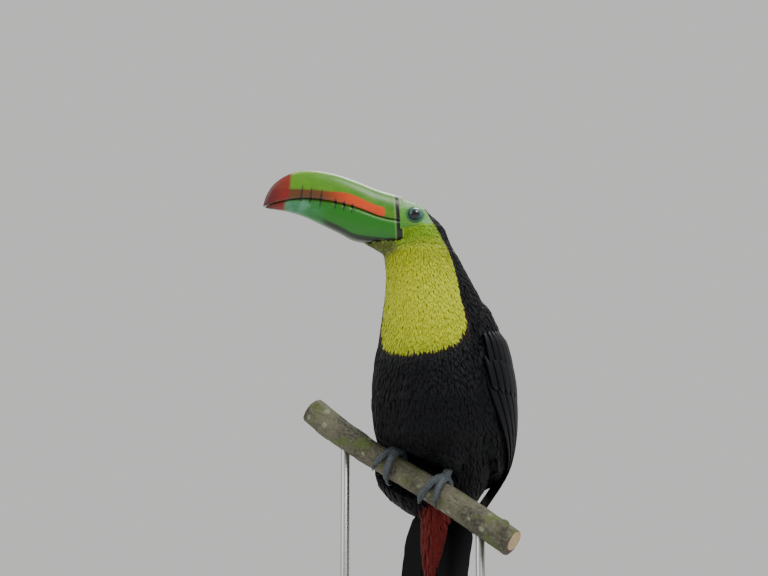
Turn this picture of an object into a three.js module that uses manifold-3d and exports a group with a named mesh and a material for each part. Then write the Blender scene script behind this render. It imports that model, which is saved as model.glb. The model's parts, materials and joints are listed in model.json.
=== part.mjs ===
// Keel-billed toucan at life size, as a still display model. The bird sits bolt upright on a short length
// of sloping branch, with its head turned 58 degrees to its own right. Two rods hold it on a flat base.
// Millimetres, +Z up. The trunk faces -Y, so +X is the bird's left. The origin is the middle of the base's
// underside, and the trunk's own axis stands above it.
import * as THREE from "three";
import { mergeVertices } from "three/addons/utils/BufferGeometryUtils.js";
import Module from "manifold-3d";

const wasm = await Module();
wasm.setup();

// Driving dimensions
const SEAM = 0.35; // clear gap left between two pieces that meet
const BILL_LENGTH = 126; // from the middle of the bill's base to its tip, in a straight line
const BILL_SLANT = 0.16; // how far the bill's base leans forward at the top, per unit of height
const HEAD_YAW = 58; // degrees that the head is turned to the bird's right
const HEAD_PITCH = 5.6; // degrees that the bill points up
const HEAD_ROLL = 6; // degrees that the crown leans to the bird's left
const BILL_BASE = [-29.2, -30.8, 482]; // middle of the bill's base
const EYE_RADIUS = 6.8;
const EYE_BACK = 13.4; // eye centre behind the bill's base
const EYE_UP = 3.4; // eye centre above the middle of the bill's base
const EYE_OUT = 14.9; // eye centre out from the head's middle
const PERCH_MIDDLE = [-13.9, -34.3, 241]; // point on the branch's axis in front of the trunk
const PERCH_RADIUS = 12;
const PERCH_HEADING = 3; // degrees from +X towards +Y, looking along the branch to its low end
const PERCH_SLOPE = 30.5; // degrees that the branch falls along that heading
const PERCH_ENDS = [-122, 112]; // cut ends, measured along the branch from its middle point
const FOOT_ROOM = 9.6; // clear room round the branch, where the toes are
const FOOT_PLACES = { right: -25, left: 27 }; // feet along the branch from its middle point
const ROD_PLACES = { high: -78, low: 74 }; // rods along the branch from its middle point
const ROD_RADIUS = 4;
const ROD_SOCKET = 7; // how far a rod goes into the branch
const BASE_LENGTH = 250;
const BASE_WIDTH = 176;
const BASE_CORNER = 60;
const BASE_THICK = 14;
const BASE_BEVEL = 1.5;
const COLLAR_RADIUS = 9;
const COLLAR_HEIGHT = 6;

const SIDES = { left: 1, right: -1 }; // sign of x on each side of the bird

const radians = THREE.MathUtils.degToRad;
const vector = (values) => new THREE.Vector3(...values);

// Shape tools

// Turns a closed geometry into a solid whose shared corners are merged.
function solid(geometry) {
  const bare = geometry.index ? geometry.toNonIndexed() : geometry.clone();
  const places = new THREE.BufferGeometry().setAttribute("position", bare.getAttribute("position"));
  const merged = mergeVertices(places, 1e-4);
  return new wasm.Manifold(
    new wasm.Mesh({
      numProp: 3,
      vertProperties: new Float32Array(merged.attributes.position.array),
      triVerts: new Uint32Array(merged.index.array),
    }),
  );
}

// The same closed geometry with its surface moved out by a distance.
function grown(geometry, by = SEAM) {
  const places = new THREE.BufferGeometry();
  const bare = geometry.index ? geometry.toNonIndexed() : geometry;
  places.setAttribute("position", bare.getAttribute("position").clone());
  const merged = mergeVertices(places, 1e-4);
  merged.computeVertexNormals();
  const position = merged.getAttribute("position");
  const normal = merged.getAttribute("normal");
  for (let i = 0; i < position.count; i++) {
    position.setXYZ(
      i,
      position.getX(i) + by * normal.getX(i),
      position.getY(i) + by * normal.getY(i),
      position.getZ(i) + by * normal.getZ(i),
    );
  }
  return merged;
}

// The largest body of a cut solid, so that a cut leaves no loose crumbs.
function largest(cut) {
  const bodies = cut.decompose();
  return bodies.reduce((best, body) => (body.volume() > best.volume() ? body : best));
}

function signedVolume(points, faces) {
  return faces.reduce(
    (sum, [a, b, c]) => sum + points[a].dot(new THREE.Vector3().crossVectors(points[b], points[c])),
    0,
  );
}

// A closed skin over rings of equally many points, with a fan over each end, facing out.
function loft(rings) {
  const count = rings[0].length;
  const points = rings.flat();
  const faces = [];
  for (let ring = 0; ring + 1 < rings.length; ring++) {
    for (let i = 0; i < count; i++) {
      const a = ring * count + i;
      const b = ring * count + ((i + 1) % count);
      faces.push([a, b, b + count], [a, b + count, a + count]);
    }
  }
  for (const [ring, turned] of [
    [0, true],
    [rings.length - 1, false],
  ]) {
    const middle = rings[ring].reduce((sum, p) => sum.add(p), new THREE.Vector3()).divideScalar(count);
    const hub = points.push(middle) - 1;
    for (let i = 0; i < count; i++) {
      const a = ring * count + i;
      const b = ring * count + ((i + 1) % count);
      faces.push(turned ? [hub, b, a] : [hub, a, b]);
    }
  }
  const outward = signedVolume(points, faces) > 0 ? faces : faces.map(([a, b, c]) => [a, c, b]);
  const geometry = new THREE.BufferGeometry().setFromPoints(points);
  geometry.setIndex(outward.flat());
  return geometry;
}

// A smooth curve through rows of three values, read at an even share of its rows.
function through(rows) {
  const curve = new THREE.CatmullRomCurve3(rows.map(vector), false, "catmullrom", 0.5);
  return (share) => curve.getPoint(share);
}

const shares = (count) => Array.from({ length: count }, (_, i) => i / (count - 1));

// A loft through oval stations. Each is [x, y, z, half width, front, back] with its front towards -Y,
// and yaw(share) turns a station about +Z.
function ovalLoft(stations, ringCount, around, yaw = () => 0) {
  const middle = through(stations.map((s) => s.slice(0, 3)));
  const size = through(stations.map((s) => s.slice(3)));
  return loft(
    shares(ringCount).map((share) => {
      const at = middle(share);
      const half = size(share);
      const turn = yaw(share);
      return Array.from({ length: around }, (_, i) => {
        const angle = (2 * Math.PI * i) / around;
        const depth = Math.sin(angle) < 0 ? half.y : half.z;
        return new THREE.Vector3(half.x * Math.cos(angle), depth * Math.sin(angle), 0)
          .applyAxisAngle(new THREE.Vector3(0, 0, 1), turn)
          .add(at);
      });
    }),
  );
}

// A round tube of changing radius along a curve.
function taperedTube(curve, radiusAt, ringCount, around) {
  const frames = curve.computeFrenetFrames(ringCount - 1, false);
  return loft(
    shares(ringCount).map((share, ring) => {
      const at = curve.getPoint(share);
      return Array.from({ length: around }, (_, i) => {
        const angle = (2 * Math.PI * i) / around;
        const out = frames.normals[ring]
          .clone()
          .multiplyScalar(Math.cos(angle))
          .addScaledVector(frames.binormals[ring], Math.sin(angle));
        return at.clone().addScaledVector(out, radiusAt(share));
      });
    }),
  );
}

function mirrored(geometry) {
  const copy = geometry.clone().scale(-1, 1, 1);
  const index = Array.from(copy.index.array);
  for (let i = 0; i < index.length; i += 3) [index[i + 1], index[i + 2]] = [index[i + 2], index[i + 1]];
  return copy.setIndex(index);
}

// Head and bill: local axes are forward along the bill, to the bird's left, and up.
const headFrame = new THREE.Matrix4()
  .makeTranslation(...BILL_BASE)
  .multiply(new THREE.Matrix4().makeRotationZ(-Math.PI / 2 - radians(HEAD_YAW)))
  .multiply(new THREE.Matrix4().makeRotationY(-radians(HEAD_PITCH)))
  .multiply(new THREE.Matrix4().makeRotationX(-radians(HEAD_ROLL)));

const inHead = (forward, side, up) => new THREE.Vector3(forward, side, up).applyMatrix4(headFrame);

// Stations of the bill: [share of its length, upper edge, lower edge, half width].
const MAXILLA = [
  [-0.02, 21.4, -3.6, 17.6],
  [0.14, 24.6, -1.6, 17],
  [0.32, 30.8, 4.6, 15.6],
  [0.49, 35.3, 7.8, 13.4],
  [0.65, 36.2, 8.8, 11.2],
  [0.77, 33.8, 7, 9.2],
  [0.87, 27.5, 3.6, 7],
  [0.945, 18.6, 0.6, 4.8],
  [0.985, 8.5, -1.4, 2.6],
  [1, 0.4, -2.6, 0.9],
];
const MANDIBLE = [
  [-0.02, -3.6, -24.4, 17.2],
  [0.14, -1.6, -25.2, 16.2],
  [0.32, 4.6, -24.6, 14.6],
  [0.44, 7.3, -18.8, 12.8],
  [0.57, 8.6, -12.8, 10.8],
  [0.7, 8.2, -7.2, 8.8],
  [0.82, 5.6, -4.4, 6.6],
  [0.91, 2.2, -3.8, 4.2],
  [0.96, -0.2, -3.6, 2],
];

// Powers of the bill's oval section: 1 is a plain ellipse, less is boxier.
const MAXILLA_POWER = 0.84;
const MANDIBLE_POWER = 0.6;

// A half bill: the free edge is a superellipse over the flat of the mouth.
function halfBill(rows, isUpper, ringCount, arcCount, flatCount) {
  const edges = through(rows.map((row) => row.slice(1)));
  const along = through(rows.map((row) => [row[0], 0, 0]));
  const mouthGap = SEAM / 2;
  return loft(
    shares(ringCount).map((share) => {
      const { x: upper, y: lower, z: half } = edges(share);
      const place = along(share).x;
      const mouth = isUpper ? lower + mouthGap : upper - mouthGap;
      const free = isUpper ? upper : lower;
      const power = isUpper ? MAXILLA_POWER : MANDIBLE_POWER;
      const point = (side, up) =>
        inHead(place * BILL_LENGTH + BILL_SLANT * up * (1 - place), side, up);
      const arc = shares(arcCount).map((s) => {
        const angle = Math.PI * s;
        const side = half * Math.sign(Math.cos(angle)) * Math.abs(Math.cos(angle)) ** power;
        return point(side, mouth + (free - mouth) * Math.sin(angle) ** power);
      });
      const flat = shares(flatCount + 2)
        .slice(1, -1)
        .map((s) => point(half * (2 * s - 1), mouth));
      return [...arc, ...flat];
    }),
  );
}

// Stations of the head: [forward, top, bottom, half width], from the bill's base to the nape.
const HEAD = [
  [1.6, 20.4, -23.4, 17.9],
  [-4, 19.4, -25, 19],
  [-10, 18, -26.5, 20],
  [-16, 16.4, -27.5, 20.4],
  [-23, 12.2, -28, 19.8],
  [-31, 5, -28, 17.5],
  [-38, -3, -25, 13],
  [-42, -9, -18, 6],
];
// Stations of the chin, which runs forward between the two sides of the lower bill.
const CHIN = [
  [46, -17, -22, 2],
  [36, -16, -25.6, 7],
  [26, -14, -29.4, 11],
  [17, -12, -34, 13.5],
  [8, -12, -39, 14.6],
  [-4, -12, -43, 16.4],
  [-18, -14, -42, 15],
  [-30, -16, -36, 10],
];

// A loft whose stations stand across the head.
function headLoft(stations, ringCount, around) {
  const reach = through(stations.map((s) => [s[0], s[1], s[2]]));
  const width = through(stations.map((s) => [s[3], 0, 0]));
  return loft(
    shares(ringCount).map((share) => {
      const { x: forward, y: top, z: bottom } = reach(share);
      const half = width(share).x;
      const slant = BILL_SLANT * THREE.MathUtils.smoothstep(forward, -20, 0);
      return Array.from({ length: around }, (_, i) => {
        const angle = (2 * Math.PI * i) / around;
        const up = (top + bottom) / 2 + ((top - bottom) / 2) * Math.sin(angle);
        return inHead(forward + slant * up, half * Math.cos(angle), up);
      });
    }),
  );
}

const eyeball = (side) =>
  new THREE.SphereGeometry(EYE_RADIUS, 12, 8).applyMatrix4(
    new THREE.Matrix4().makeTranslation(...inHead(-EYE_BACK, side * EYE_OUT, EYE_UP)),
  );

// Trunk and neck: [x, y, z, half width, front, back], from the tail's root up into the head.
const TRUNK = [
  [-3.3, 7.8, 204, 14, 8, 9],
  [-3.3, 7.8, 222, 31, 18, 21],
  [-2.2, 5.2, 250, 48, 34, 39],
  [-1.5, 1.3, 285, 62.5, 67, 51],
  [-1.5, -1.8, 325, 63, 65, 54],
  [-2.2, -4.6, 362, 57, 54.5, 51],
  [-3.7, -9.3, 397, 48, 47.5, 46],
  [-7.3, -15.4, 425, 38.5, 39, 41],
  [-12.7, -20.7, 448, 33.5, 34.5, 39],
  [-14.4, -22.2, 455, 30.5, 23, 36],
  [-15.7, -22.8, 464, 26.5, 14, 32],
  [-16, -23.7, 475, 20.8, 9, 27],
  [-16, -23.7, 486, 11, 6, 14],
  [-16, -23.7, 492, 4, 3, 4],
];
// Belly feathers on the bird's right, which hang behind the branch where it is high, in the same terms.
const FLANK = [
  [-12.6, 0.8, 205, 6, 5, 5],
  [-21, -1.2, 216, 19, 17, 15],
  [-33.3, -4.9, 230, 23, 22, 20],
  [-39.8, -7.7, 246, 24.5, 24, 22],
  [-37.2, -6.6, 268, 25, 25, 24],
  [-28.6, -1.4, 290, 18, 18, 18],
];
const headTurn = (share) => -radians(HEAD_YAW) * THREE.MathUtils.smoothstep(share, 0.6, 0.95);

// Folded wing: [z, out to the side, out to the back, y of its centre], [thickness, front edge, back edge],
// the edges in degrees round the trunk from the breast.
const WING_OUT = [
  [402, 43, 40, -10],
  [393, 49.5, 46, -8],
  [362, 60, 56, -5],
  [325, 66, 63, -2],
  [288, 66, 64, 0],
  [255, 58.5, 56, 3],
  [228, 42, 37, 6],
  [209, 31, 24, 8],
  [200, 27, 19, 8],
];
const WING_BAND = [
  [3, 104, 116],
  [8, 82, 138],
  [12, 66, 153],
  [12.5, 62, 160],
  [11, 67, 166],
  [8, 82, 170],
  [5.5, 106, 170],
  [4, 130, 168],
  [1.6, 144, 160],
];

// A wing is a shell bent round the trunk, oval in section, of one side or the other.
function wing(side, ringCount, around) {
  const place = through(WING_OUT.map((row) => row.slice(0, 3)));
  const centre = through(WING_OUT.map((row) => [row[3], 0, 0]));
  const band = through(WING_BAND);
  const made = loft(
    shares(ringCount).map((share) => {
      const { x: height, y: out, z: back } = place(share);
      const { x: thick, y: front, z: rear } = band(share);
      return Array.from({ length: around }, (_, i) => {
        const angle = (2 * Math.PI * i) / around;
        const turn = radians((front + rear) / 2 - ((rear - front) / 2) * Math.cos(angle));
        const inset = (thick / 2) * (1 - Math.sin(angle));
        return new THREE.Vector3(
          (out - inset) * Math.sin(turn),
          centre(share).x - (back - inset) * Math.cos(turn),
          height,
        );
      });
    }),
  );
  return side === SIDES.left ? made : mirrored(made);
}

// Bands of feather that hang down: [x, y, z], [half width, half thickness, arch of the middle to the back].
function hangingBand(path, sizes, ringCount, around) {
  const middle = through(path);
  const size = through(sizes);
  return loft(
    shares(ringCount).map((share) => {
      const at = middle(share);
      const { x: half, y: thick, z: arch } = size(share);
      return Array.from({ length: around }, (_, i) => {
        const angle = (2 * Math.PI * i) / around;
        const across = Math.cos(angle);
        const rise = arch * (1 - across * across);
        return new THREE.Vector3(at.x + half * across, at.y + rise + thick * Math.sin(angle), at.z);
      });
    }),
  );
}

const TAIL_PATH = [
  [-2, 10, 228],
  [-4, 6.5, 205],
  [-9, 2.5, 165],
  [-12.5, -1, 115],
  [-15.5, -4, 76],
  [-16.3, -5, 63],
  [-17, -5.5, 58],
];
const TAIL_SIZE = [
  [9, 3, 1],
  [27, 4.2, 3],
  [31, 3.8, 4],
  [32, 3, 4],
  [32, 2, 3.4],
  [24, 1.5, 2.4],
  [9, 0.9, 1],
];
const VENT_PATH = [
  [-4, -4, 236],
  [-4.5, -6, 222],
  [-6, -7.5, 200],
  [-8, -9, 178],
  [-10, -9.5, 158],
  [-11, -9.5, 151],
];
const VENT_SIZE = [
  [8, 5, 0],
  [14, 10, -1],
  [13.5, 9, -2],
  [11, 6, -2],
  [6.5, 3, -1],
  [3, 1, 0],
];
const RUMP_PATH = [
  [-1, 24, 252],
  [-2, 21, 234],
  [-4, 17, 212],
  [-6, 13, 192],
  [-7.5, 11, 178],
  [-8, 10, 173],
];
const RUMP_SIZE = [
  [9, 5, 1],
  [19, 8, 2],
  [21, 6, 3],
  [18, 4.5, 4],
  [10, 2.6, 3],
  [3, 1, 1],
];

// Branch: a crooked round stick with a stub where a side twig was cut.
const perchAxis = new THREE.Vector3(
  Math.cos(radians(PERCH_HEADING)) * Math.cos(radians(PERCH_SLOPE)),
  Math.sin(radians(PERCH_HEADING)) * Math.cos(radians(PERCH_SLOPE)),
  -Math.sin(radians(PERCH_SLOPE)),
);
const perchFront = new THREE.Vector3().crossVectors(perchAxis, new THREE.Vector3(0, 0, 1)).normalize();
const perchUp = new THREE.Vector3().crossVectors(perchFront, perchAxis).normalize();

// A point near the branch: along its axis, up from it and to its front.
const atPerch = (along, up = 0, front = 0) =>
  vector(PERCH_MIDDLE)
    .addScaledVector(perchAxis, along)
    .addScaledVector(perchUp, up)
    .addScaledVector(perchFront, front);

// [share of the branch's length, up, front], how far it strays from a straight line.
const PERCH_CROOKS = [
  [0, 6.5, -2],
  [0.14, 2.5, -1],
  [0.3, 0.6, 0],
  [0.5, 0, 0],
  [0.68, 0.4, 0],
  [0.84, -1, 1.5],
  [1, -3.5, 3],
];
const STUB = { along: 88, up: 10, front: 16, reach: 15, radius: 4.2 };

function perchSolid() {
  const [start, end] = PERCH_ENDS;
  const line = new THREE.CatmullRomCurve3(
    PERCH_CROOKS.map(([share, up, front]) => atPerch(start + share * (end - start), up, front)),
  );
  const swell = (share) => PERCH_RADIUS + 0.7 * Math.sin(9 * share + 0.6) + 1.6 * (share - 0.5) ** 2;
  const twig = new THREE.LineCurve3(
    atPerch(STUB.along, 0, 0),
    atPerch(STUB.along + STUB.reach, STUB.up, STUB.front),
  );
  const stem = taperedTube(line, swell, 12, 12);
  const stub = taperedTube(twig, (share) => STUB.radius * (1.5 - 0.5 * share), 3, 7);
  return { stem, stub };
}

// Feet: two toes forward and two back, each bent over the branch. way is 1 for forward, splay is the turn
// from straight across in degrees, radius is at the root, and claw is the claw's length.
const TOES = {
  inner_front: { way: 1, splay: 15, length: 33, radius: 4, claw: 12 },
  outer_front: { way: 1, splay: -11, length: 43, radius: 4.3, claw: 14 },
  inner_back: { way: -1, splay: -17, length: 22, radius: 3.6, claw: 10 },
  outer_back: { way: -1, splay: 13, length: 37, radius: 4, claw: 13 },
};
const TOE_PRESS = 0.5; // how far the toes' pads press flat on the bark
const TOE_ROOT = 2; // how far a toe starts behind the middle of the foot
const CLAW_SINK = 1.5; // how far a claw's root lies in its toe
const CLAW_CURL = 62; // degrees that a claw bends over its length
const CLAW_THICK = 0.5; // a claw's radius at its root, as a share of its toe's

// A toe's middle line, as points round the branch, and its claw's, which leaves it and bends in.
function toeLines(foot, side, toe) {
  const ride = PERCH_RADIUS + toe.radius - TOE_PRESS;
  const lean = Math.tan(radians(toe.splay * side));
  const place = (run) => {
    const turn = run / ride;
    return atPerch(foot + lean * run, ride * Math.cos(turn), toe.way * ride * Math.sin(turn));
  };
  const end = toe.length - TOE_ROOT;
  const toePoints = shares(8).map((s) => place(s * toe.length - TOE_ROOT));
  const tip = place(end);
  const heading = tip.clone().sub(place(end - 3)).normalize();
  const inward = atPerch(foot + lean * end).sub(tip).normalize();
  const bend = radians(CLAW_CURL);
  const arm = toe.claw / bend;
  const clawPoints = shares(5).map((s) =>
    tip
      .clone()
      .addScaledVector(heading, arm * Math.sin(bend * s) - CLAW_SINK)
      .addScaledVector(inward, arm * (1 - Math.cos(bend * s))),
  );
  return { toe: new THREE.CatmullRomCurve3(toePoints), claw: new THREE.CatmullRomCurve3(clawPoints) };
}

// Toes swell at each joint and end round.
function toeRadius(toe) {
  return (share) => {
    const knuckles = 1 + 0.07 * Math.cos(2 * Math.PI * 3 * share);
    const round = Math.sqrt(Math.max(0.12, 1 - Math.max(0, (share - 0.9) / 0.1) ** 2));
    return toe.radius * (1 - 0.3 * share) * knuckles * round;
  };
}

// Legs: the shank rises from the foot's palm to the hock, inside the feathered thigh.
const PALM = [6, 6.4, 4.4]; // half sizes along the branch, across it and up
const PALM_RISE = 3.4; // middle of the palm above the bark
const SHANK_RADIUS = 4;
const HOCK = { right: [-25.6, -4.7, 282], left: [19.3, -16.4, 262] };
const THIGH_TOP = { right: [-30.3, -2.9, 300], left: [23.3, -22.4, 290] };
const THIGH_START = 0.34; // where the thigh's feathers begin, from foot to hock
const THIGH_RADIUS = { cuff: 5.6, swell: 15, taper: 5 }; // at its edge, then what it gains and loses

function legPieces(name) {
  const foot = atPerch(FOOT_PLACES[name], PERCH_RADIUS + PALM_RISE);
  const hock = vector(HOCK[name]);
  const knee = vector(THIGH_TOP[name]);
  const shank = taperedTube(
    new THREE.LineCurve3(foot, hock),
    (share) => SHANK_RADIUS * (1.12 - 0.5 * share * (1 - share)),
    4,
    8,
  );
  const palm = new THREE.SphereGeometry(1, 8, 6)
    .scale(...PALM)
    .applyMatrix4(new THREE.Matrix4().makeBasis(perchAxis, perchFront.clone().negate(), perchUp))
    .translate(...foot);
  const low = foot.clone().lerp(hock, THIGH_START);
  const { cuff, swell, taper } = THIGH_RADIUS;
  const thigh = taperedTube(
    new THREE.CatmullRomCurve3([low, low.clone().lerp(knee, 0.3), low.clone().lerp(knee, 0.7), knee]),
    (share) => cuff + swell * Math.sin((Math.PI / 2) * Math.min(1, share * 1.35)) - taper * share * share,
    6,
    10,
  );
  return { shank, palm, thigh };
}

// Stand
function roundedPlate() {
  const [length, width] = [BASE_LENGTH / 2 - BASE_BEVEL, BASE_WIDTH / 2 - BASE_BEVEL];
  const corner = BASE_CORNER - BASE_BEVEL;
  const outline = new THREE.Shape();
  outline.moveTo(-length + corner, -width);
  outline.lineTo(length - corner, -width);
  outline.absarc(length - corner, -width + corner, corner, -Math.PI / 2, 0);
  outline.absarc(length - corner, width - corner, corner, 0, Math.PI / 2);
  outline.absarc(-length + corner, width - corner, corner, Math.PI / 2, Math.PI);
  outline.absarc(-length + corner, -width + corner, corner, Math.PI, 1.5 * Math.PI);
  return new THREE.ExtrudeGeometry(outline, {
    depth: BASE_THICK - 2 * BASE_BEVEL,
    bevelEnabled: true,
    bevelThickness: BASE_BEVEL,
    bevelSize: BASE_BEVEL,
    bevelSegments: 1,
    curveSegments: 6,
  })
    .translate(0, 0, BASE_BEVEL)
    .rotateZ(radians(PERCH_HEADING));
}

const upright = (radius, from, to, x, y) =>
  new THREE.CylinderGeometry(radius, radius, to - from, 12)
    .rotateX(Math.PI / 2)
    .translate(x, y, (from + to) / 2);

function standPieces(place) {
  const foot = atPerch(ROD_PLACES[place]);
  const top = foot.z - PERCH_RADIUS / Math.cos(radians(PERCH_SLOPE)) + ROD_SOCKET;
  const rod = upright(ROD_RADIUS, BASE_THICK + SEAM, top, foot.x, foot.y);
  const collarFoot = BASE_THICK + SEAM;
  const collar = upright(COLLAR_RADIUS, collarFoot, collarFoot + COLLAR_HEIGHT, foot.x, foot.y);
  return { rod, collar };
}

// Putting the pieces together: a piece that meets another is cut back to leave the seam.
const billUpper = halfBill(MAXILLA, true, 17, 12, 2);
const billLower = halfBill(MANDIBLE, false, 14, 11, 2);
const wings = { left: wing(SIDES.left, 12, 12), right: wing(SIDES.right, 12, 12) };
const eyes = { left: eyeball(SIDES.left), right: eyeball(SIDES.right) };
const legs = { left: legPieces("left"), right: legPieces("right") };
const tail = hangingBand(TAIL_PATH, TAIL_SIZE, 10, 14);
const vent = hangingBand(VENT_PATH, VENT_SIZE, 8, 12);
const rump = hangingBand(RUMP_PATH, RUMP_SIZE, 8, 12);
const perch = perchSolid();
const stands = { high: standPieces("high"), low: standPieces("low") };

const seam = (...geometries) =>
  geometries.map((g) => solid(grown(g))).reduce((all, one) => all.add(one));

const digits = Object.entries(FOOT_PLACES).flatMap(([name, foot]) =>
  Object.entries(TOES).map(([toeName, toe]) => {
    const lines = toeLines(foot, SIDES[name], toe);
    return {
      name: `${toeName}_${name}`,
      foot: name,
      toe: taperedTube(lines.toe, toeRadius(toe), 8, 6),
      claw: taperedTube(lines.claw, (share) => toe.radius * CLAW_THICK * (1 - 0.86 * share), 4, 6),
    };
  }),
);
const perchSeam = seam(perch.stem);
const footRoom = solid(grown(perch.stem, FOOT_ROOM));
const tailSeam = seam(tail);
const wingSeam = seam(wings.left, wings.right);
const billSeam = seam(billUpper, billLower);
const eyeSeam = seam(eyes.left, eyes.right);

const flesh = solid(ovalLoft(TRUNK, 19, 20, headTurn))
  .add(solid(ovalLoft(FLANK, 7, 10)))
  .add(solid(headLoft(HEAD, 10, 18)))
  .add(solid(headLoft(CHIN, 8, 12)))
  .add(solid(legs.left.thigh))
  .add(solid(legs.right.thigh))
  .subtract(billSeam)
  .subtract(eyeSeam)
  .subtract(wingSeam)
  .subtract(footRoom)
  .subtract(tailSeam)
  .subtract(seam(vent, rump, legs.left.shank, legs.right.shank));

// The head parts from the neck on a plane that falls from the nape to the throat, the neck from the trunk
// on one across the base of the bib.
const NECK_TOP = { through: [-18, -23, 455], facing: [0.22, 0.23, 1] };
const NECK_FOOT = { through: [-5, -13, 408], facing: [0, -0.22, 1] };

function sideOf(body, plane, above) {
  const facing = vector(plane.facing).normalize().multiplyScalar(above ? 1 : -1);
  return body.trimByPlane(facing.toArray(), facing.dot(vector(plane.through)) + SEAM / 2);
}

const pieces = {};
pieces.head = sideOf(flesh, NECK_TOP, true);
pieces.neck = sideOf(sideOf(flesh, NECK_TOP, false), NECK_FOOT, true);
pieces.trunk = sideOf(flesh, NECK_FOOT, false);
pieces.bill_upper = solid(billUpper);
pieces.bill_lower = solid(billLower);
pieces.tail = solid(tail);
pieces.undertail_coverts = solid(vent).subtract(tailSeam).subtract(footRoom).subtract(wingSeam);
pieces.uppertail_coverts = solid(rump).subtract(tailSeam).subtract(wingSeam);

// Wing tips part from the rest of the wing where the longest flight feathers show.
const WING_TIP_CUT = { through: [0, 0, 250], facing: [0, 0.35, 1] };

for (const name of Object.keys(SIDES)) {
  const whole = solid(wings[name]).subtract(tailSeam);
  pieces[`wing_${name}`] = sideOf(whole, WING_TIP_CUT, true);
  pieces[`wing_tip_${name}`] = sideOf(whole, WING_TIP_CUT, false);
  pieces[`eye_${name}`] = solid(eyes[name]);

  const leg = legs[name];
  const shank = solid(leg.shank).add(solid(leg.palm)).subtract(perchSeam);
  const shankSeam = seam(leg.shank, leg.palm);
  pieces[`shank_${name}`] = shank;

  let taken = shankSeam.add(perchSeam);
  for (const digit of digits.filter((each) => each.foot === name)) {
    pieces[`toe_${digit.name}`] = solid(digit.toe).subtract(taken).subtract(seam(digit.claw));
    pieces[`claw_${digit.name}`] = solid(digit.claw).subtract(perchSeam);
    taken = taken.add(seam(digit.toe));
  }
}

pieces.perch = solid(perch.stem)
  .add(solid(perch.stub))
  .subtract(seam(stands.high.rod, stands.low.rod));
pieces.stand_base = solid(roundedPlate());
for (const place of ["high", "low"]) {
  pieces[`stand_rod_${place}`] = solid(stands[place].rod);
  pieces[`stand_collar_${place}`] = solid(stands[place].collar).subtract(seam(stands[place].rod));
}

// Colours, matched to a piece by the start of its name.
const FINISHES = [
  ["bill_upper", { color: 0x8aa82a, roughness: 0.35 }],
  ["bill_lower", { color: 0x3f9a34, roughness: 0.35 }],
  ["eye", { color: 0x0c1512, roughness: 0.08 }],
  ["head", { color: 0x9db51c, roughness: 0.8 }],
  ["neck", { color: 0xd2c01e, roughness: 0.85 }],
  ["undertail", { color: 0xa81a16, roughness: 0.85 }],
  ["uppertail", { color: 0xefece2, roughness: 0.85 }],
  ["shank", { color: 0x5f7f95, roughness: 0.6 }],
  ["toe", { color: 0x5f7f95, roughness: 0.6 }],
  ["claw", { color: 0x1c1d20, roughness: 0.4 }],
  ["perch", { color: 0x7b6a52, roughness: 0.9 }],
  ["stand_base", { color: 0x2a211b, roughness: 0.45 }],
  ["stand", { color: 0xb9b9b6, roughness: 0.3, metalness: 1 }],
  ["", { color: 0x121318, roughness: 0.7 }],
];

function finished(name, body) {
  const { vertProperties, triVerts } = largest(body).getMesh();
  const geometry = new THREE.BufferGeometry();
  geometry.setAttribute("position", new THREE.BufferAttribute(vertProperties, 3));
  geometry.setIndex(new THREE.BufferAttribute(triVerts, 1));
  geometry.computeVertexNormals();
  const [, look] = FINISHES.find(([start]) => name.startsWith(start));
  const mesh = new THREE.Mesh(geometry, new THREE.MeshStandardMaterial(look));
  mesh.name = name;
  return mesh;
}

const toucan = new THREE.Group();
for (const [name, body] of Object.entries(pieces)) toucan.add(finished(name, body));

export default toucan;
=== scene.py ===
"""A life-size toucan on a cut branch: skin, plumage, bill, eyes, feet, perch and stand over the solids.

Lengths in this file are millimetres in the solids' own frame: +Z is up, the trunk faces -Y, +X is its left.
"""

import json
import math
from functools import cache

import bmesh
import bpy
import numpy as np
from bpy.props import FloatProperty, FloatVectorProperty, PointerProperty
from mathutils import Matrix, Vector, noise
from mathutils.bvhtree import BVHTree

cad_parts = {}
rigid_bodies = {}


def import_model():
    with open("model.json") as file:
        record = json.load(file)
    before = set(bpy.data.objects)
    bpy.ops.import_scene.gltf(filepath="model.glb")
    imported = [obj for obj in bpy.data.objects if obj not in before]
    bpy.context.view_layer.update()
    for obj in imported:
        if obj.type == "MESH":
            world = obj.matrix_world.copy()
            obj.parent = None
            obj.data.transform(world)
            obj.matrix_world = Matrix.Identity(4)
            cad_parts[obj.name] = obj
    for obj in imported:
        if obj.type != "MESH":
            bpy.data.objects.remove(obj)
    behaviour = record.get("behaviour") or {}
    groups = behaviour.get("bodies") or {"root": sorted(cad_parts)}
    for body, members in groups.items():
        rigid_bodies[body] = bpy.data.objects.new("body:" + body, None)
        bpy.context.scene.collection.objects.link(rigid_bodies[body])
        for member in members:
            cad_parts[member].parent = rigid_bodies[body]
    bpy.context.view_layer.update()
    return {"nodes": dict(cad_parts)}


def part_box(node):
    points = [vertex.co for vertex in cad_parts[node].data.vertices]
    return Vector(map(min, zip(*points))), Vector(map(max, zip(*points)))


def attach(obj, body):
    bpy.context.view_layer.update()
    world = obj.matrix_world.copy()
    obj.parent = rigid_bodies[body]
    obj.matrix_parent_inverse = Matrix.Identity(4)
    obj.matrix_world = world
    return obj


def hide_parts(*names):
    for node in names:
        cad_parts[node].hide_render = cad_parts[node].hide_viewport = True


bl_info = {
    "name": "Toucan on a Perch",
    "version": (1, 0, 0),
    "blender": (4, 5, 0),
    "location": "3D View > Sidebar > Toucan",
    "description": "Builds the skin, plumage, bill, eyes, feet and stand of a life-size toucan",
    "category": "Object",
}

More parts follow.
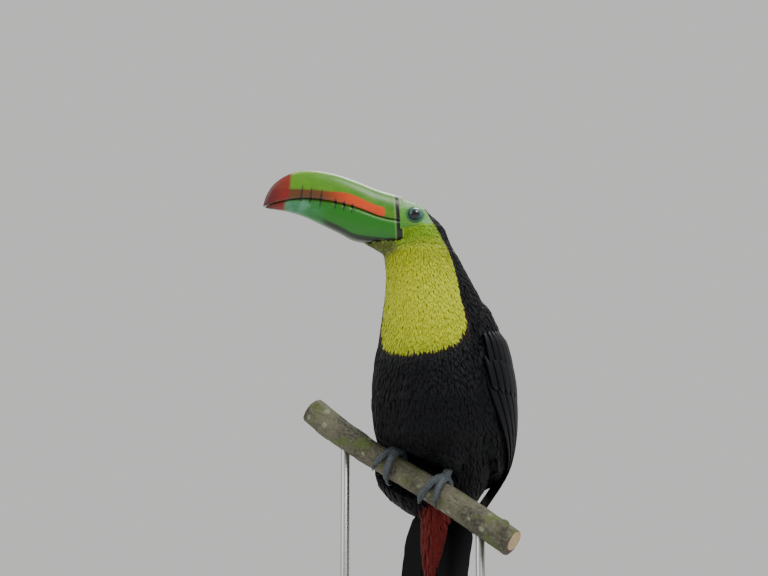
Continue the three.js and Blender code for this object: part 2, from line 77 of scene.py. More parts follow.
MM = 0.001
SIDES = {"left": 1, "right": -1}
FLESH = ("head", "neck", "trunk", "wing_left", "wing_right")
COVERTS = ("undertail_coverts", "uppertail_coverts")
BILL = ("bill_upper", "bill_lower")
EYES = ("eye_left", "eye_right")

# Head and bill, with places in the head's own axes: forward, to the left, up
BILL_BASE = np.array((-29.2, -30.8, 482.0))
BILL_LENGTH = 126.0
BILL_SLANT = 0.16
HEAD_YAW = 58.0
HEAD_PITCH = 5.6
HEAD_ROLL = 6.0
EYE_PLACE = np.array((-13.4, 14.9, 3.4))
EYE_RADIUS = 6.8
EYE_RINGS = 60
EYE_SPOKES = 72
LID_RADIUS = 6.0

# Stations of the bill: share of its length, upper edge, lower edge, half width
MAXILLA = (
    (-0.02, 21.4, -3.6, 17.6),
    (0.14, 24.6, -1.6, 17.0),
    (0.32, 30.8, 4.6, 15.6),
    (0.49, 35.3, 7.8, 13.4),
    (0.65, 36.2, 8.8, 11.2),
    (0.77, 33.8, 7.0, 9.2),
    (0.87, 27.5, 3.6, 7.0),
    (0.945, 18.6, 0.6, 4.8),
    (0.985, 8.5, -1.4, 2.6),
    (1.0, 0.4, -2.6, 0.9),
)
MANDIBLE = (
    (-0.02, -3.6, -24.4, 17.2),
    (0.14, -1.6, -25.2, 16.2),
    (0.32, 4.6, -24.6, 14.6),
    (0.44, 7.3, -18.8, 12.8),
    (0.57, 8.6, -12.8, 10.8),
    (0.7, 8.2, -7.2, 8.8),
    (0.82, 5.6, -4.4, 6.6),
    (0.91, 2.2, -3.8, 4.2),
    (0.96, -0.2, -3.6, 2.0),
    (0.985, -2.0, -3.0, 0.6),
)
MAXILLA_POWER = 0.84
MANDIBLE_POWER = 0.6
MOUTH_GAP = 0.25
# The bill's root inside the face: how far back, how far in
ROOT_STEPS = ((5.0, 5.0), (3.4, 4.0), (2.0, 2.6), (1.0, 1.4))
# Notches of the cutting edge: shares of the length, depth, and heights of the dark ticks above and below
NOTCHES = (0.35, 0.41, 0.474, 0.583, 0.66, 0.73)
NOTCH_DEPTH = 0.5
TICKS_UP = (2.2, 3.0, 3.4, 9.0, 10.0, 12.0)
TICKS_DOWN = (7.2, 7.0, 7.2, 6.5, 4.0, 2.5)
# Along the bill: the end of the black band at its base, the pale line before it, and the end of the root
# that is painted like the face
BAND_END = 3.6
LINE_PLACE = 4.7
HIDDEN_END = -1.0

# Folded wing: height, out to the side, out to the back, y of its centre
WING_OUT = (
    (402.0, 43.0, 40.0, -10.0),
    (393.0, 49.5, 46.0, -8.0),
    (362.0, 60.0, 56.0, -5.0),
    (325.0, 66.0, 63.0, -2.0),
    (288.0, 66.0, 64.0, 0.0),
    (255.0, 58.5, 56.0, 3.0),
    (228.0, 42.0, 37.0, 6.0),
    (209.0, 31.0, 24.0, 8.0),
    (200.0, 27.0, 19.0, 8.0),
)
# Its thickness, and its front and back edges in degrees round the trunk
WING_BAND = (
    (3.0, 104.0, 116.0),
    (8.0, 82.0, 138.0),
    (12.0, 66.0, 153.0),
    (12.5, 62.0, 160.0),
    (11.0, 67.0, 166.0),
    (8.0, 82.0, 170.0),
    (5.5, 106.0, 170.0),
    (4.0, 130.0, 168.0),
    (1.6, 144.0, 160.0),
)

# Tail: x, y, z of its middle, then its half width, half thickness and arch
TAIL = (
    (-2.0, 10.0, 228.0, 9.0, 3.0, 1.0),
    (-4.0, 6.5, 205.0, 27.0, 4.2, 3.0),
    (-9.0, 2.5, 165.0, 31.0, 3.8, 4.0),
    (-12.5, -1.0, 115.0, 32.0, 3.0, 4.0),
    (-15.5, -4.0, 76.0, 32.0, 2.0, 3.4),
    (-16.3, -5.0, 63.0, 24.0, 1.5, 2.4),
    (-17.0, -5.5, 58.0, 9.0, 0.9, 1.0),
)

# Middle of the body at each height: x, y, z
SPINE = (
    (-12.0, 4.0, 60.0),
    (-3.3, 7.8, 204.0),
    (-2.2, 5.2, 250.0),
    (-1.5, 1.3, 285.0),
    (-1.5, -1.8, 325.0),
    (-2.2, -4.6, 362.0),
    (-3.7, -9.3, 397.0),
    (-7.3, -15.4, 425.0),
    (-12.7, -20.7, 448.0),
    (-16.0, -23.7, 475.0),
    (-16.0, -23.7, 530.0),
)

# Rim of the face against the bill: place along the bill, height, and how far it dives under the horn
RIM_PLACE = 0.6
RIM_SWELL = 0.6
RIM_DIVE = 4.0

# Markings: heights where the neck's turn starts and ends, then the bib: the height of its widest part, its
# drop below that, its half width in degrees, what the head's adds to that, and how far it is off the middle
NECK_TURN = (400.0, 470.0)
BIB_WIDEST = 388.0
BIB_DROP = 38.5
BIB_HALF = 55.0
BIB_WIDER = 85.0
BIB_ASIDE = 3.0
# Lowest heights of the head's and the throat's feathers, and the highest of the vent's red ones
HEAD_FOOT = 455.0
THROAT_FOOT = 408.0
VENT_TOP = 236.0
# Heights where each marking or change starts, and where it is full
HEAD_FADE = (450.0, 462.0)
FLOW_FADE = (452.0, 474.0)
THIN_FADE = (455.0, 475.0)
BIB_WIDENS = (398.0, 470.0)
# Painted shade on the bib: at its top under the bill, and at its foot
BIB_TOP_SHADE = (418.0, 455.0)
BIB_FOOT_SHADE = (366.0, 350.0)
CHEEK_FADE = (440.0, 462.0)
# Painted shade under the bill starts and is full between these heights
CHIN_SHADE_FADE = (440.0, 450.0)
HEM_FADE = (400.0, 385.0)
NAPE_FADE = (380.0, 430.0)
RUMP_FADE = (248.0, 238.0)
VENT_FADE = (232.0, 224.0)
# Edges of the cap and of the bare face at the side of the head: a point on each (forward, up) and the slope
CAP_EDGE = (-21.7, 12.7, 1.59)
FACE_EDGE = (-2.7, -10.1, -0.2836)

# Surfaces: sizes of the cells that they are made of, and the two weights that even them out
FORM_CELL = 1.6
PERCH_CELL = 0.8
LEG_CELL = 0.5
EVENING = (0.6, -0.62)

# Unwrap for the bake map: its seam in degrees round the body, its foot and height, and a feather's patch
UNWRAP_SEAM = 152.0
UNWRAP_FOOT = 50.0
UNWRAP_HEIGHT = 490.0
PATCH = 0.003

# Coat: depth of the skin below it, how far the feathers stray and vary, then each zone's feathers
BIB_DEPTH = 1.2
HEAD_DEPTH = 0.8
STRAY = 0.16
VARY = 0.07
COAT = {
    "cheeks": {"seed": 11, "spacing": 1.15, "length": 4.2, "half": 0.7, "arch": 0.05, "rise": (-0.5, 0.08)},
    "cap": {"seed": 12, "spacing": 1.5, "length": 6.2, "half": 1.0, "arch": 0.08, "rise": (-0.6, 0.12)},
    "throat": {"seed": 13, "spacing": 1.35, "length": 7.0, "half": 0.95, "arch": 0.06, "rise": (-0.8, 0.1)},
    "bib": {"seed": 14, "spacing": 1.45, "length": 8.4, "half": 1.1, "arch": 0.07, "rise": (-0.9, 0.12)},
    "front": {"seed": 15, "spacing": 2.3, "length": 12.0, "half": 1.8, "arch": 0.12, "rise": (-1.0, 0.16)},
    "back": {"seed": 16, "spacing": 2.4, "length": 13.0, "half": 2.0, "arch": 0.14, "rise": (-1.0, 0.16)},
    "wings": {"seed": 17, "spacing": 3.2, "length": 13.5, "half": 2.7, "arch": 0.24, "rise": (-1.0, 0.25)},
    "tail": {"seed": 18, "spacing": 2.3, "length": 12.0, "half": 1.5, "arch": 0.16, "rise": (-1.0, 0.25)},
}
# The coat's pieces by finish, each with its zone, and the finishes' roughness and sheen
COAT_PIECES = {
    "face_feathers": {"cheek_feathers": "cheeks"},
    "yellow_feathers": {"throat_feathers": "throat", "bib_feathers": "bib"},
    "black_feathers": {
        "cap_feathers": "cap",
        "breast_feathers": "front",
        "back_feathers": "back",
        "shoulder_feathers": "wings",
    },
    "red_feathers": {"vent_feathers": "tail"},
}
COAT_FINISHES = {
    "face_feathers": (0.6, 0.1),
    "yellow_feathers": (0.62, 0.12),
    "black_feathers": (0.5, 0.0),
    "red_feathers": (0.6, 0.08),
}

# Branch and feet: the branch's heading and slope in degrees and its ends along it, then the feet's places
# along it and their hocks
PERCH_MIDDLE = np.array((-13.9, -34.3, 241.0))
PERCH_RADIUS = 12.0
PERCH_HEADING = 3.0
PERCH_SLOPE = 30.5
PERCH_ENDS = (-122.0, 112.0)
FOOT_PLACES = {"right": -25.0, "left": 27.0}
HOCKS = {"right": (-25.6, -4.7, 282.0), "left": (19.3, -16.4, 262.0)}
PALM_RISE = 3.4
TOES = ("inner_front", "outer_front", "inner_back", "outer_back")
TOE_PLATE = 2.3
SHANK_PLATE = 3.4

# Stand
BASE_SIZE = (250.0, 176.0)
BASE_CORNER = 60.0
BASE_THICK = 14.0
CORNER_STEPS = 20
ROD_RADIUS = 4.0
ROD_BEVEL = 0.6
TURNED_STEPS = 64
COLLAR_RADIUS = 9.0
COLLAR_HEIGHT = 6.0

# Floor and camera
FLOOR_REACH = 4000.0
VIEW_TURN = 28.0
VIEW_RISE = -12.0
VIEW_DISTANCE = 1600.0
VIEW_TARGET = np.array((-47.8, -25.4, 420.0))
VIEW_LENS = 80.99
SENSOR = 36.0


def tone(code):
    """Linear red, green and blue of a six-figure colour code."""
    parts = [int(code[i : i + 2], 16) / 255 for i in (0, 2, 4)]
    return tuple(p / 12.92 if p <= 0.04045 else ((p + 0.055) / 1.055) ** 2.4 for p in parts)


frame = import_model()
NODES = frame["nodes"]


# ---------------------------------------------------------------- settings


def shade(name, description, code):
    """A setting for a colour."""
    return FloatVectorProperty(
        name=name, description=description, default=tone(code), min=0.0, max=1.0, size=3, subtype="COLOR"
    )


def factor(name, description, default, most):
    """A setting for a share or a strength."""
    return FloatProperty(
        name=name, description=description, default=default, min=0.0, max=most, subtype="FACTOR"
    )


def span(name, description, length):
    """A setting for a length, given in millimetres."""
    return FloatProperty(name=name, description=description, default=length * MM, min=0.0, unit="LENGTH")


def direction(name, description, degrees):
    """A setting for an angle, given in degrees."""
    return FloatProperty(name=name, description=description, default=math.radians(degrees), subtype="ANGLE")


class ToucanPlumage(bpy.types.PropertyGroup):
    """Colours of the feathers and of the bare face, with painted light and shade on the bib and painted shade
    under the bill
    """

    black: shade("Black", "Belly, wings and tail", "05060a")
    nape: shade("Nape", "Back of the neck", "0f0a0b")
    bib: shade("Bib", "Throat and breast", "a9b20a")
    # Painted light: a paler band across the middle of the breast
    bib_pale: shade("Pale bib", "Middle of the breast", "bcc41c")
    # Painted shade: the bib darker at the upper throat under the bill and at its foot
    bib_deep: shade("Deep bib", "Upper throat and the bib's foot", "82900a")
    hem: shade("Hem", "Line under the bib", "2a0a07")
    cheek: shade("Cheek", "Feathers below the bare face", "78a00e")
    # Painted shade: the chin's yellow feathers darkened to dusky olive where the bill shades them
    chin: shade("Chin", "Wedge under the bill", "545a2a")
    face: shade("Face", "Bare skin", "357f1c")
    brow: shade("Brow", "Bare skin over and behind the eye", "739a62")
    lores: shade("Lores", "Bare skin before the eye", "549222")
    lid: shade("Lids", "Ring round the eye", "1f4a3c")
    red: shade("Red", "Coverts under the tail", "5a0d08")
    white: shade("White", "Rump", "dcd7c4")


class ToucanBill(bpy.types.PropertyGroup):
    """Colours of the bill"""

    upper: shade("Upper", "Green of the upper jaw", "34740a")
    upper_far: shade("Upper far", "Green of the upper jaw towards its tip", "4c850a")
    lower: shade("Lower", "Green of the lower jaw", "156c06")
    lower_far: shade("Lower far", "Blue-green of the lower jaw towards its tip", "32704a")
    blaze: shade("Blaze", "Blaze over the cutting edge", "d23d08")
    blaze_far: shade("Blaze far", "The blaze towards the tip", "5a2a0e")
    tip: shade("Tip", "Red of the tip", "7a120e")


class ToucanCoat(bpy.types.PropertyGroup):
    """Lie of the small feathers"""

    density: factor("Density", "How thickly the small feathers stand", 1.0, 1.5)
    length: factor("Length", "Length of the small feathers", 1.0, 1.5)
    depth: span("Depth", "Depth of the skin below the body's coat", 1.5)


class ToucanStand(bpy.types.PropertyGroup):
    """Finish of the branch and the stand"""

    relief: span("Bark relief", "Height of the bark's ridges", 0.5)
    wood: shade("Wood", "Stain of the base", "2a1c13")
    gloss: factor("Varnish", "Strength of the base's varnish", 0.35, 1.0)


class ToucanStage(bpy.types.PropertyGroup):
    """Camera and light"""

    light: FloatProperty(
        name="Light", description="Power of the main lamp", default=85.0, min=0.0, unit="POWER"
    )
    turn: direction("Turn", "Camera's direction from the breast", VIEW_TURN)
    rise: direction("Rise", "Camera's height as an angle", VIEW_RISE)
    distance: span("Distance", "Camera's distance", VIEW_DISTANCE)


SETTINGS = {
    "toucan_plumage": ToucanPlumage,
    "toucan_bill": ToucanBill,
    "toucan_coat": ToucanCoat,
    "toucan_stand": ToucanStand,
    "toucan_stage": ToucanStage,
}


def settings(name):
    """One of the groups of settings, by the last word of its name."""
    return getattr(bpy.context.scene, f"toucan_{name}")


def plumage_tones():
    """The plumage's colours as arrays."""
    group = settings("plumage")
    return {name: np.array(getattr(group, name)) for name in ToucanPlumage.__annotations__}


# ---------------------------------------------------------------- numbers and places


def head_axes():
    """Forward, left and up of the head, as columns."""
    turn = Matrix.Rotation(-math.pi / 2 - math.radians(HEAD_YAW), 3, "Z")
    tip = Matrix.Rotation(-math.radians(HEAD_PITCH), 3, "Y")
    lean = Matrix.Rotation(-math.radians(HEAD_ROLL), 3, "X")
    return np.array(turn @ tip @ lean)


HEAD_AXES = head_axes()


def in_head(places):
    """From the head's axes to the frame."""
    return BILL_BASE + np.asarray(places, float) @ HEAD_AXES.T


def from_head(points):
    """From the frame to the head's axes."""
    return (np.asarray(points, float) - BILL_BASE) @ HEAD_AXES


def smooth(low, high, value):
    """A smooth step from 0 at low to 1 at high. low may be over high."""
    share = np.clip((np.asarray(value, float) - low) / (high - low), 0, 1)
    return share * share * (3 - 2 * share)


def mixed(share, first, second):
    """Colours or vectors between the first and the second."""
    share = np.asarray(share, float)[..., None]
    return first * (1 - share) + second * share


def unit(vectors):
    return vectors / np.maximum(np.linalg.norm(vectors, axis=-1, keepdims=True), 1e-9)


def spine_at(height):
    """x and y of the body's middle at heights."""
    rows = np.array(SPINE)
    return np.stack([np.interp(height, rows[:, 2], rows[:, i]) for i in (0, 1)], axis=-1)


def turn_at(points):
    """Degrees round the body, from the breast towards its left."""
    middle = spine_at(points[:, 2])
    return np.degrees(np.arctan2(points[:, 0] - middle[:, 0], middle[:, 1] - points[:, 1]))


def wrapped(degrees):
    """The same turns between -180 and 180."""
    return (degrees + 180) % 360 - 180


def curve_through(rows, count):
    """Catmull-Rom curve through rows of values, read at even shares of the rows."""
    rows = np.asarray(rows, float)
    padded = np.vstack([2 * rows[0] - rows[1], rows, 2 * rows[-1] - rows[-2]])
    place = np.linspace(0, len(rows) - 1, count)
    at = np.minimum(place.astype(int), len(rows) - 2)
    t = (place - at)[:, None]
    a, b, c, d = (padded[at + i] for i in range(4))
    return 0.5 * (
        2 * b + (c - a) * t + (2 * a - 5 * b + 4 * c - d) * t**2 + (3 * b - a - 3 * c + d) * t**3
    )


def rippled(points, scale, seed=0.0):
    """Smooth noise from -1 to 1 at points, with features about scale across."""
    offset = Vector((seed, seed * 1.7, seed * 0.3))
    return np.array([noise.noise(Vector(p) / scale + offset) for p in points])


# ---------------------------------------------------------------- meshes


def mesh_from(name, points, faces, flat_from=None):
    """A mesh from points in millimetres and a list of face arrays, each of one number of corners.

    The arrays from flat_from on are flat faces, which keeps the ones before them from shading round.
    """
    mesh = bpy.data.meshes.new(name)
    faces = [np.asarray(f, np.int32) for f in faces]
    mesh.vertices.add(len(points))
    mesh.vertices.foreach_set("co", (np.asarray(points) * MM).astype(np.float32).ravel())
    corners = np.concatenate([f.ravel() for f in faces])
    counts = np.concatenate([np.full(len(f), f.shape[1]) for f in faces])
    starts = np.concatenate([[0], np.cumsum(counts)[:-1]]).astype(np.int32)
    mesh.loops.add(len(corners))
    mesh.loops.foreach_set("vertex_index", corners)
    mesh.polygons.add(len(counts))
    mesh.polygons.foreach_set("loop_start", starts)
    even = [np.full(len(f), flat_from is None or i < flat_from) for i, f in enumerate(faces)]
    mesh.polygons.foreach_set("use_smooth", np.concatenate(even))
    mesh.update(calc_edges=True)
    mesh.validate()
    return mesh


def give(mesh, name, values):
    """Stores a number or a colour at every vertex."""
    values = np.asarray(values, np.float32)
    if values.ndim == 1:
        mesh.attributes.new(name, "FLOAT", "POINT").data.foreach_set("value", values)
        return
    colours = np.ones((len(values), 4), np.float32)
    colours[:, :3] = values
    mesh.attributes.new(name, "FLOAT_COLOR", "POINT").data.foreach_set("color", colours.ravel())


def give_map(mesh, places):
    """The bake map: a place in the unit square for every vertex."""
    corners = np.empty(len(mesh.loops), np.int32)
    mesh.loops.foreach_get("vertex_index", corners)
    layer = mesh.uv_layers.new(name="OFBake")
    layer.data.foreach_set("uv", np.asarray(places, np.float32)[corners].ravel())


def unwrap(points):
    """Place on an unwrap of the body: round it, then up it."""
    across = wrapped(turn_at(points) - UNWRAP_SEAM) / 360 + 0.5
    up = (points[:, 2] - UNWRAP_FOOT) / UNWRAP_HEIGHT
    return np.clip(np.stack([across, up], axis=-1), 0.004, 0.996)


def put(name, mesh, material, replaced=()):
    """Adds a piece to the scene, on the bird's one body."""
    made = bpy.data.objects.new(name, mesh)
    bpy.context.scene.collection.objects.link(made)
    mesh.materials.append(material)
    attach(made, "root")
    if replaced:
        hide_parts(*replaced)
    return made


def arrays_of(mesh):
    """A mesh's points in millimetres, and its faces as one array for each number of corners."""
    points = np.empty(len(mesh.vertices) * 3, np.float32)
    mesh.vertices.foreach_get("co", points)
    corners = np.empty(len(mesh.loops), np.int32)
    mesh.loops.foreach_get("vertex_index", corners)
    starts = np.empty(len(mesh.polygons), np.int32)
    mesh.polygons.foreach_get("loop_start", starts)
    counts = np.diff(np.append(starts, len(corners)))
    faces = [corners[starts[counts == n][:, None] + np.arange(n)] for n in sorted(set(counts))]
    return points.reshape(-1, 3).astype(float) / MM, faces


def node_arrays(names):
    """Points and triangles of some solids together."""
    points, faces, total = [], [], 0
    for name in names:
        mesh = NODES[name].data
        mesh.calc_loop_triangles()
        triangles = np.empty(len(mesh.loop_triangles) * 3, np.int32)
        mesh.loop_triangles.foreach_get("vertices", triangles)
        own, _ = arrays_of(mesh)
        points.append(own)
        faces.append(triangles.reshape(-1, 3) + total)
        total += len(own)
    return np.concatenate(points), np.concatenate(faces)


@cache
def nearness(names):
    """A tree to find the nearest places on some solids."""
    points, faces = node_arrays(names)
    return BVHTree.FromPolygons(points.tolist(), faces.tolist())


def distance_to(tree, points):
    """How far each point is from the tree's surface."""
    return np.array([tree.find_nearest(p)[3] for p in points])


def largest_part(points, faces):
    """Only the connected surface with the most points."""
    a, b = edges_of(faces).T
    label = np.arange(len(points))
    while True:
        before = label.copy()
        np.minimum.at(label, a, label[b])
        np.minimum.at(label, b, label[a])
        label = label[label]
        if np.array_equal(before, label):
            break
    kept = label == np.bincount(label).argmax()
    number = np.cumsum(kept) - 1
    return points[kept], [number[f[kept[f[:, 0]]]] for f in faces]


def modified(points, faces, modifiers):
    """A surface after modifiers, which are given as kinds and their settings."""
    rough = bpy.data.objects.new("rough", mesh_from("rough", points, faces))
    bpy.context.scene.collection.objects.link(rough)
    for kind, options in modifiers.items():
        modifier = rough.modifiers.new(kind, kind)
        for name, value in options.items():
            setattr(modifier, name, value)
    made = bpy.data.meshes.new_from_object(rough.evaluated_get(bpy.context.evaluated_depsgraph_get()))
    found = arrays_of(made)
    bpy.data.meshes.remove(made)
    bpy.data.objects.remove(rough)
    return found


def merged_shell(names, cell, extra=()):
    """One closed skin of quads round several solids, and further (points, faces) sets."""
    points, faces = node_arrays(names)
    points, faces = joined([(points, [faces]), *extra])
    return largest_part(*modified(points, faces, {"REMESH": {"mode": "VOXEL", "voxel_size": cell * MM}}))


def edges_of(faces):
    """Every edge once, as pairs of points."""
    rims = [np.stack([f, np.roll(f, -1, axis=1)], axis=-1).reshape(-1, 2) for f in faces]
    return np.unique(np.sort(np.concatenate(rims), axis=1), axis=0)


def relaxed(points, faces, rounds):
    """Evens a surface out, and pushes back each time so that it doesn't shrink."""
    edges = edges_of(faces)
    count = len(points)
    a, b = np.concatenate([edges, edges[:, ::-1]]).T
    degree = np.maximum(np.bincount(a, minlength=count), 1)[:, None]
    for _ in range(rounds):
        for weight in EVENING:
            mean = np.stack([np.bincount(a, points[b, i], count) for i in range(3)], axis=1) / degree
            points = points + weight * (mean - points)
    return points


def normals_of(points, faces):
    """The smooth facing at every point."""
    total = np.zeros_like(points)
    for f in faces:
        across = np.cross(points[f[:, 2]] - points[f[:, 0]], points[f[:, -1]] - points[f[:, 1]])
        if f.shape[1] == 3:
            across = np.cross(points[f[:, 1]] - points[f[:, 0]], points[f[:, 2]] - points[f[:, 0]])
        for i in range(f.shape[1]):
            np.add.at(total, f[:, i], across)
    return unit(total)


def tube(rings):
    """Faces of a closed tube over rings of equally many points, with a fan over each end."""
    count, around = rings.shape[:2]
    ring, step = np.meshgrid(np.arange(count - 1), np.arange(around), indexing="ij")
    a = ring * around + step
    b = ring * around + (step + 1) % around
    quads = np.stack([a, b, b + around, a + around], axis=-1).reshape(-1, 4)
    points = rings.reshape(-1, 3)
    hubs = np.stack([rings[0].mean(axis=0), rings[-1].mean(axis=0)])
    i = np.arange(around)
    j = (i + 1) % around
    last = (count - 1) * around
    first_fan = np.stack([np.full(around, len(points)), j, i], axis=-1)
    last_fan = np.stack([np.full(around, len(points) + 1), last + i, last + j], axis=-1)
    return np.vstack([points, hubs]), [quads, np.concatenate([first_fan, last_fan])]


def outward(points, faces):
    """The faces turned so that the closed surface faces out."""
    volume = 0.0
    for f in faces:
        for i in range(1, f.shape[1] - 1):
            a, b, c = points[f[:, 0]], points[f[:, i]], points[f[:, i + 1]]
            volume += np.einsum("ij,ij->i", a, np.cross(b, c)).sum()
    return faces if volume > 0 else [f[:, ::-1] for f in faces]


def joined(parts):
    """Several (points, faces) sets as one."""
    together = np.concatenate([points for points, _ in parts])
    offsets = np.cumsum([0] + [len(points) for points, _ in parts[:-1]])
    by_size = {}
    for (_, faces), offset in zip(parts, offsets):
        for f in faces:
            by_size.setdefault(f.shape[1], []).append(f + offset)
    return together, [np.concatenate(same) for same in by_size.values()]


# ---------------------------------------------------------------- paint


class Tap:
    """A value in a material that plain arithmetic works on."""

    def __init__(self, paint, socket):
        self.paint = paint
        self.socket = socket

    def _math(self, operation, *values):
        sockets = dict(enumerate(values))
        return self.paint.read("ShaderNodeMath", {"operation": operation}, sockets)

    def __add__(self, other):
        return self._math("ADD", self, other)

    def __sub__(self, other):
        return self._math("SUBTRACT", self, other)

    def __rsub__(self, other):
        return self._math("SUBTRACT", other, self)

    def __mul__(self, other):
        return self._math("MULTIPLY", self, other)

    def __truediv__(self, other):
        return self._math("DIVIDE", self, other)

    def __rtruediv__(self, other):
        return self._math("DIVIDE", other, self)

    def __pow__(self, other):
        return self._math("POWER", self, other)

    def __rpow__(self, other):
        return self._math("POWER", other, self)

    def __abs__(self):
        return self._math("ABSOLUTE", self)

    __radd__ = __add__
    __rmul__ = __mul__

    def sine(self):
        return self._math("SINE", self)

    def least(self, other):
        return self._math("MINIMUM", self, other)

    def most(self, other):
        return self._math("MAXIMUM", self, other)

    def between(self, low, high):
        """0 below low, 1 above high and a smooth step between them."""
        sockets = {"Value": self, "From Min": low, "From Max": high}
        return self.paint.read("ShaderNodeMapRange", {"interpolation_type": "SMOOTHSTEP"}, sockets)


SURFACE = {
    "base": "Base Color",
    "rough": "Roughness",
    "normal": "Normal",
    "metal": "Metallic",
    "specular": "Specular IOR Level",
    "coat": "Coat Weight",
    "coat_rough": "Coat Roughness",
    "sheen": "Sheen Weight",
    "sheen_rough": "Sheen Roughness",
    "deep": "Subsurface Weight",
    "deep_scale": "Subsurface Scale",
}


class Paint:
    """A material that is mixed from nodes."""

    def __init__(self, name):
        self.material = bpy.data.materials.new(name)
        self.material.use_nodes = True
        self.tree = self.material.node_tree
        self.tree.nodes.clear()
        self.surface = self.add("ShaderNodeBsdfPrincipled")
        self.add("ShaderNodeOutputMaterial", sockets={"Surface": self.surface.outputs["BSDF"]})

    def join(self, socket, value):
        if isinstance(value, Tap):
            value = value.socket
        if isinstance(value, bpy.types.NodeSocket):
            self.tree.links.new(value, socket)
        elif socket.type == "RGBA" and len(value) == 3:
            socket.default_value = (*value, 1.0)
        else:
            socket.default_value = value

    def add(self, kind, options=None, sockets=None):
        """A node: its options are set first, and then its sockets are given values or joined."""
        node = self.tree.nodes.new(kind)
        for name, value in (options or {}).items():
            setattr(node, name, value)
        for name, value in (sockets or {}).items():
            self.join(node.inputs[name], value)
        return node

    def read(self, kind, options=None, sockets=None, output=0):
        return Tap(self, self.add(kind, options, sockets).outputs[output])

    def stored(self, name):
        """A number stored at the mesh's points."""
        return self.read("ShaderNodeAttribute", {"attribute_name": name}, output="Fac")

    def stored_colour(self, name):
        return self.read("ShaderNodeAttribute", {"attribute_name": name}, output="Color")

    def place(self):
        """The place in the frame, in metres."""
        return self.read("ShaderNodeTexCoord", output="Object")

    def cloud(self, scale, detail, place=None, stretch=None):
        """Noise from 0 to 1."""
        place = self.place() if place is None else place
        if stretch:
            place = self.read("ShaderNodeVectorMath", {"operation": "MULTIPLY"}, {0: place, 1: stretch})
        sockets = {"Vector": place, "Scale": scale, "Detail": detail}
        return self.read("ShaderNodeTexNoise", None, sockets)

    def cells(self, scale):
        """Distance inside random cells."""
        return self.read("ShaderNodeTexVoronoi", None, {"Vector": self.place(), "Scale": scale}, "Distance")

    def vector(self, x, y, z):
        return self.read("ShaderNodeCombineXYZ", None, {0: x, 1: y, 2: z})

    def mix(self, share, first, second, blend="MIX"):
        options = {"data_type": "RGBA", "blend_type": blend}
        return self.read("ShaderNodeMix", options, {0: share, 6: first, 7: second}, 2)

    def bump(self, height, depth, strength):
        """A Normal from a height between 0 and 1 that stands for depth metres."""
        sockets = {"Height": height, "Distance": depth, "Strength": strength}
        return self.read("ShaderNodeBump", None, sockets, "Normal")

    def finish(self, **values):
        for name, value in values.items():
            self.join(self.surface.inputs[SURFACE[name]], value)
        return self.material


def feather_paint(name, rough, sheen, barb=0.5):
    """Plumage: the colour stored at each feather's root, with a shaft, barbs and a worn rim."""
    paint = Paint(name)
    along = paint.stored("along")
    across = paint.stored("across")
    seed = paint.stored("seed")
    colour = paint.stored_colour("tone")
    slant = along * 9.0 - abs(across) * 3.2
    strands = paint.cloud(1.0, 3.0, paint.vector(slant * 2.0, across * 0.7, seed * 40.0))
    split = paint.cloud(1.0, 2.0, paint.vector(across * 5.0, along * 1.2, seed * 55.0))
    shaft = (abs(across) * 9.0).between(1.0, 0.0)
    rim = (abs(across)).between(0.7, 1.0).most(along.between(0.82, 1.0))
    worn = paint.mix(rim * 0.35, colour, paint.mix(1.0, colour, (1.35, 1.35, 1.3), "MULTIPLY"))
    streaks = 0.74 + strands * 0.34 + split * 0.2 + (seed - 0.5) * 0.16
    base = paint.mix(1.0, worn, paint.vector(streaks, streaks, streaks), "MULTIPLY")
    height = strands * 0.5 + split * 0.35 + shaft * 0.4
    return paint.finish(
        base=base,
        rough=(rough + strands * 0.16).least(0.95),
        normal=paint.bump(height, 0.00022, barb),
        sheen=sheen,
        sheen_rough=0.45,
        specular=0.16,
    )


def skin_paint():
    """Skin: the same markings, finely pored, with wrinkles where it is bare."""
    paint = Paint("skin")
    colour = paint.stored_colour("tone")
    bare = paint.stored("bare")
    fold = paint.cloud(420.0, 4.0, stretch=(1.0, 1.0, 1.7))
    pores = paint.cells(1500.0)
    mottle = paint.cloud(160.0, 3.0)
    light = 0.72 + mottle * 0.34 + fold * 0.2
    base = paint.mix(1.0, colour, paint.vector(light, light, light), "MULTIPLY")
    height = fold * 0.7 + pores * 0.3
    return paint.finish(
        base=base,
        rough=0.62 - bare * 0.16 + mottle * 0.1,
        normal=paint.bump(height, 0.00035, 0.75),
        deep=0.05,
        deep_scale=0.002,
    )


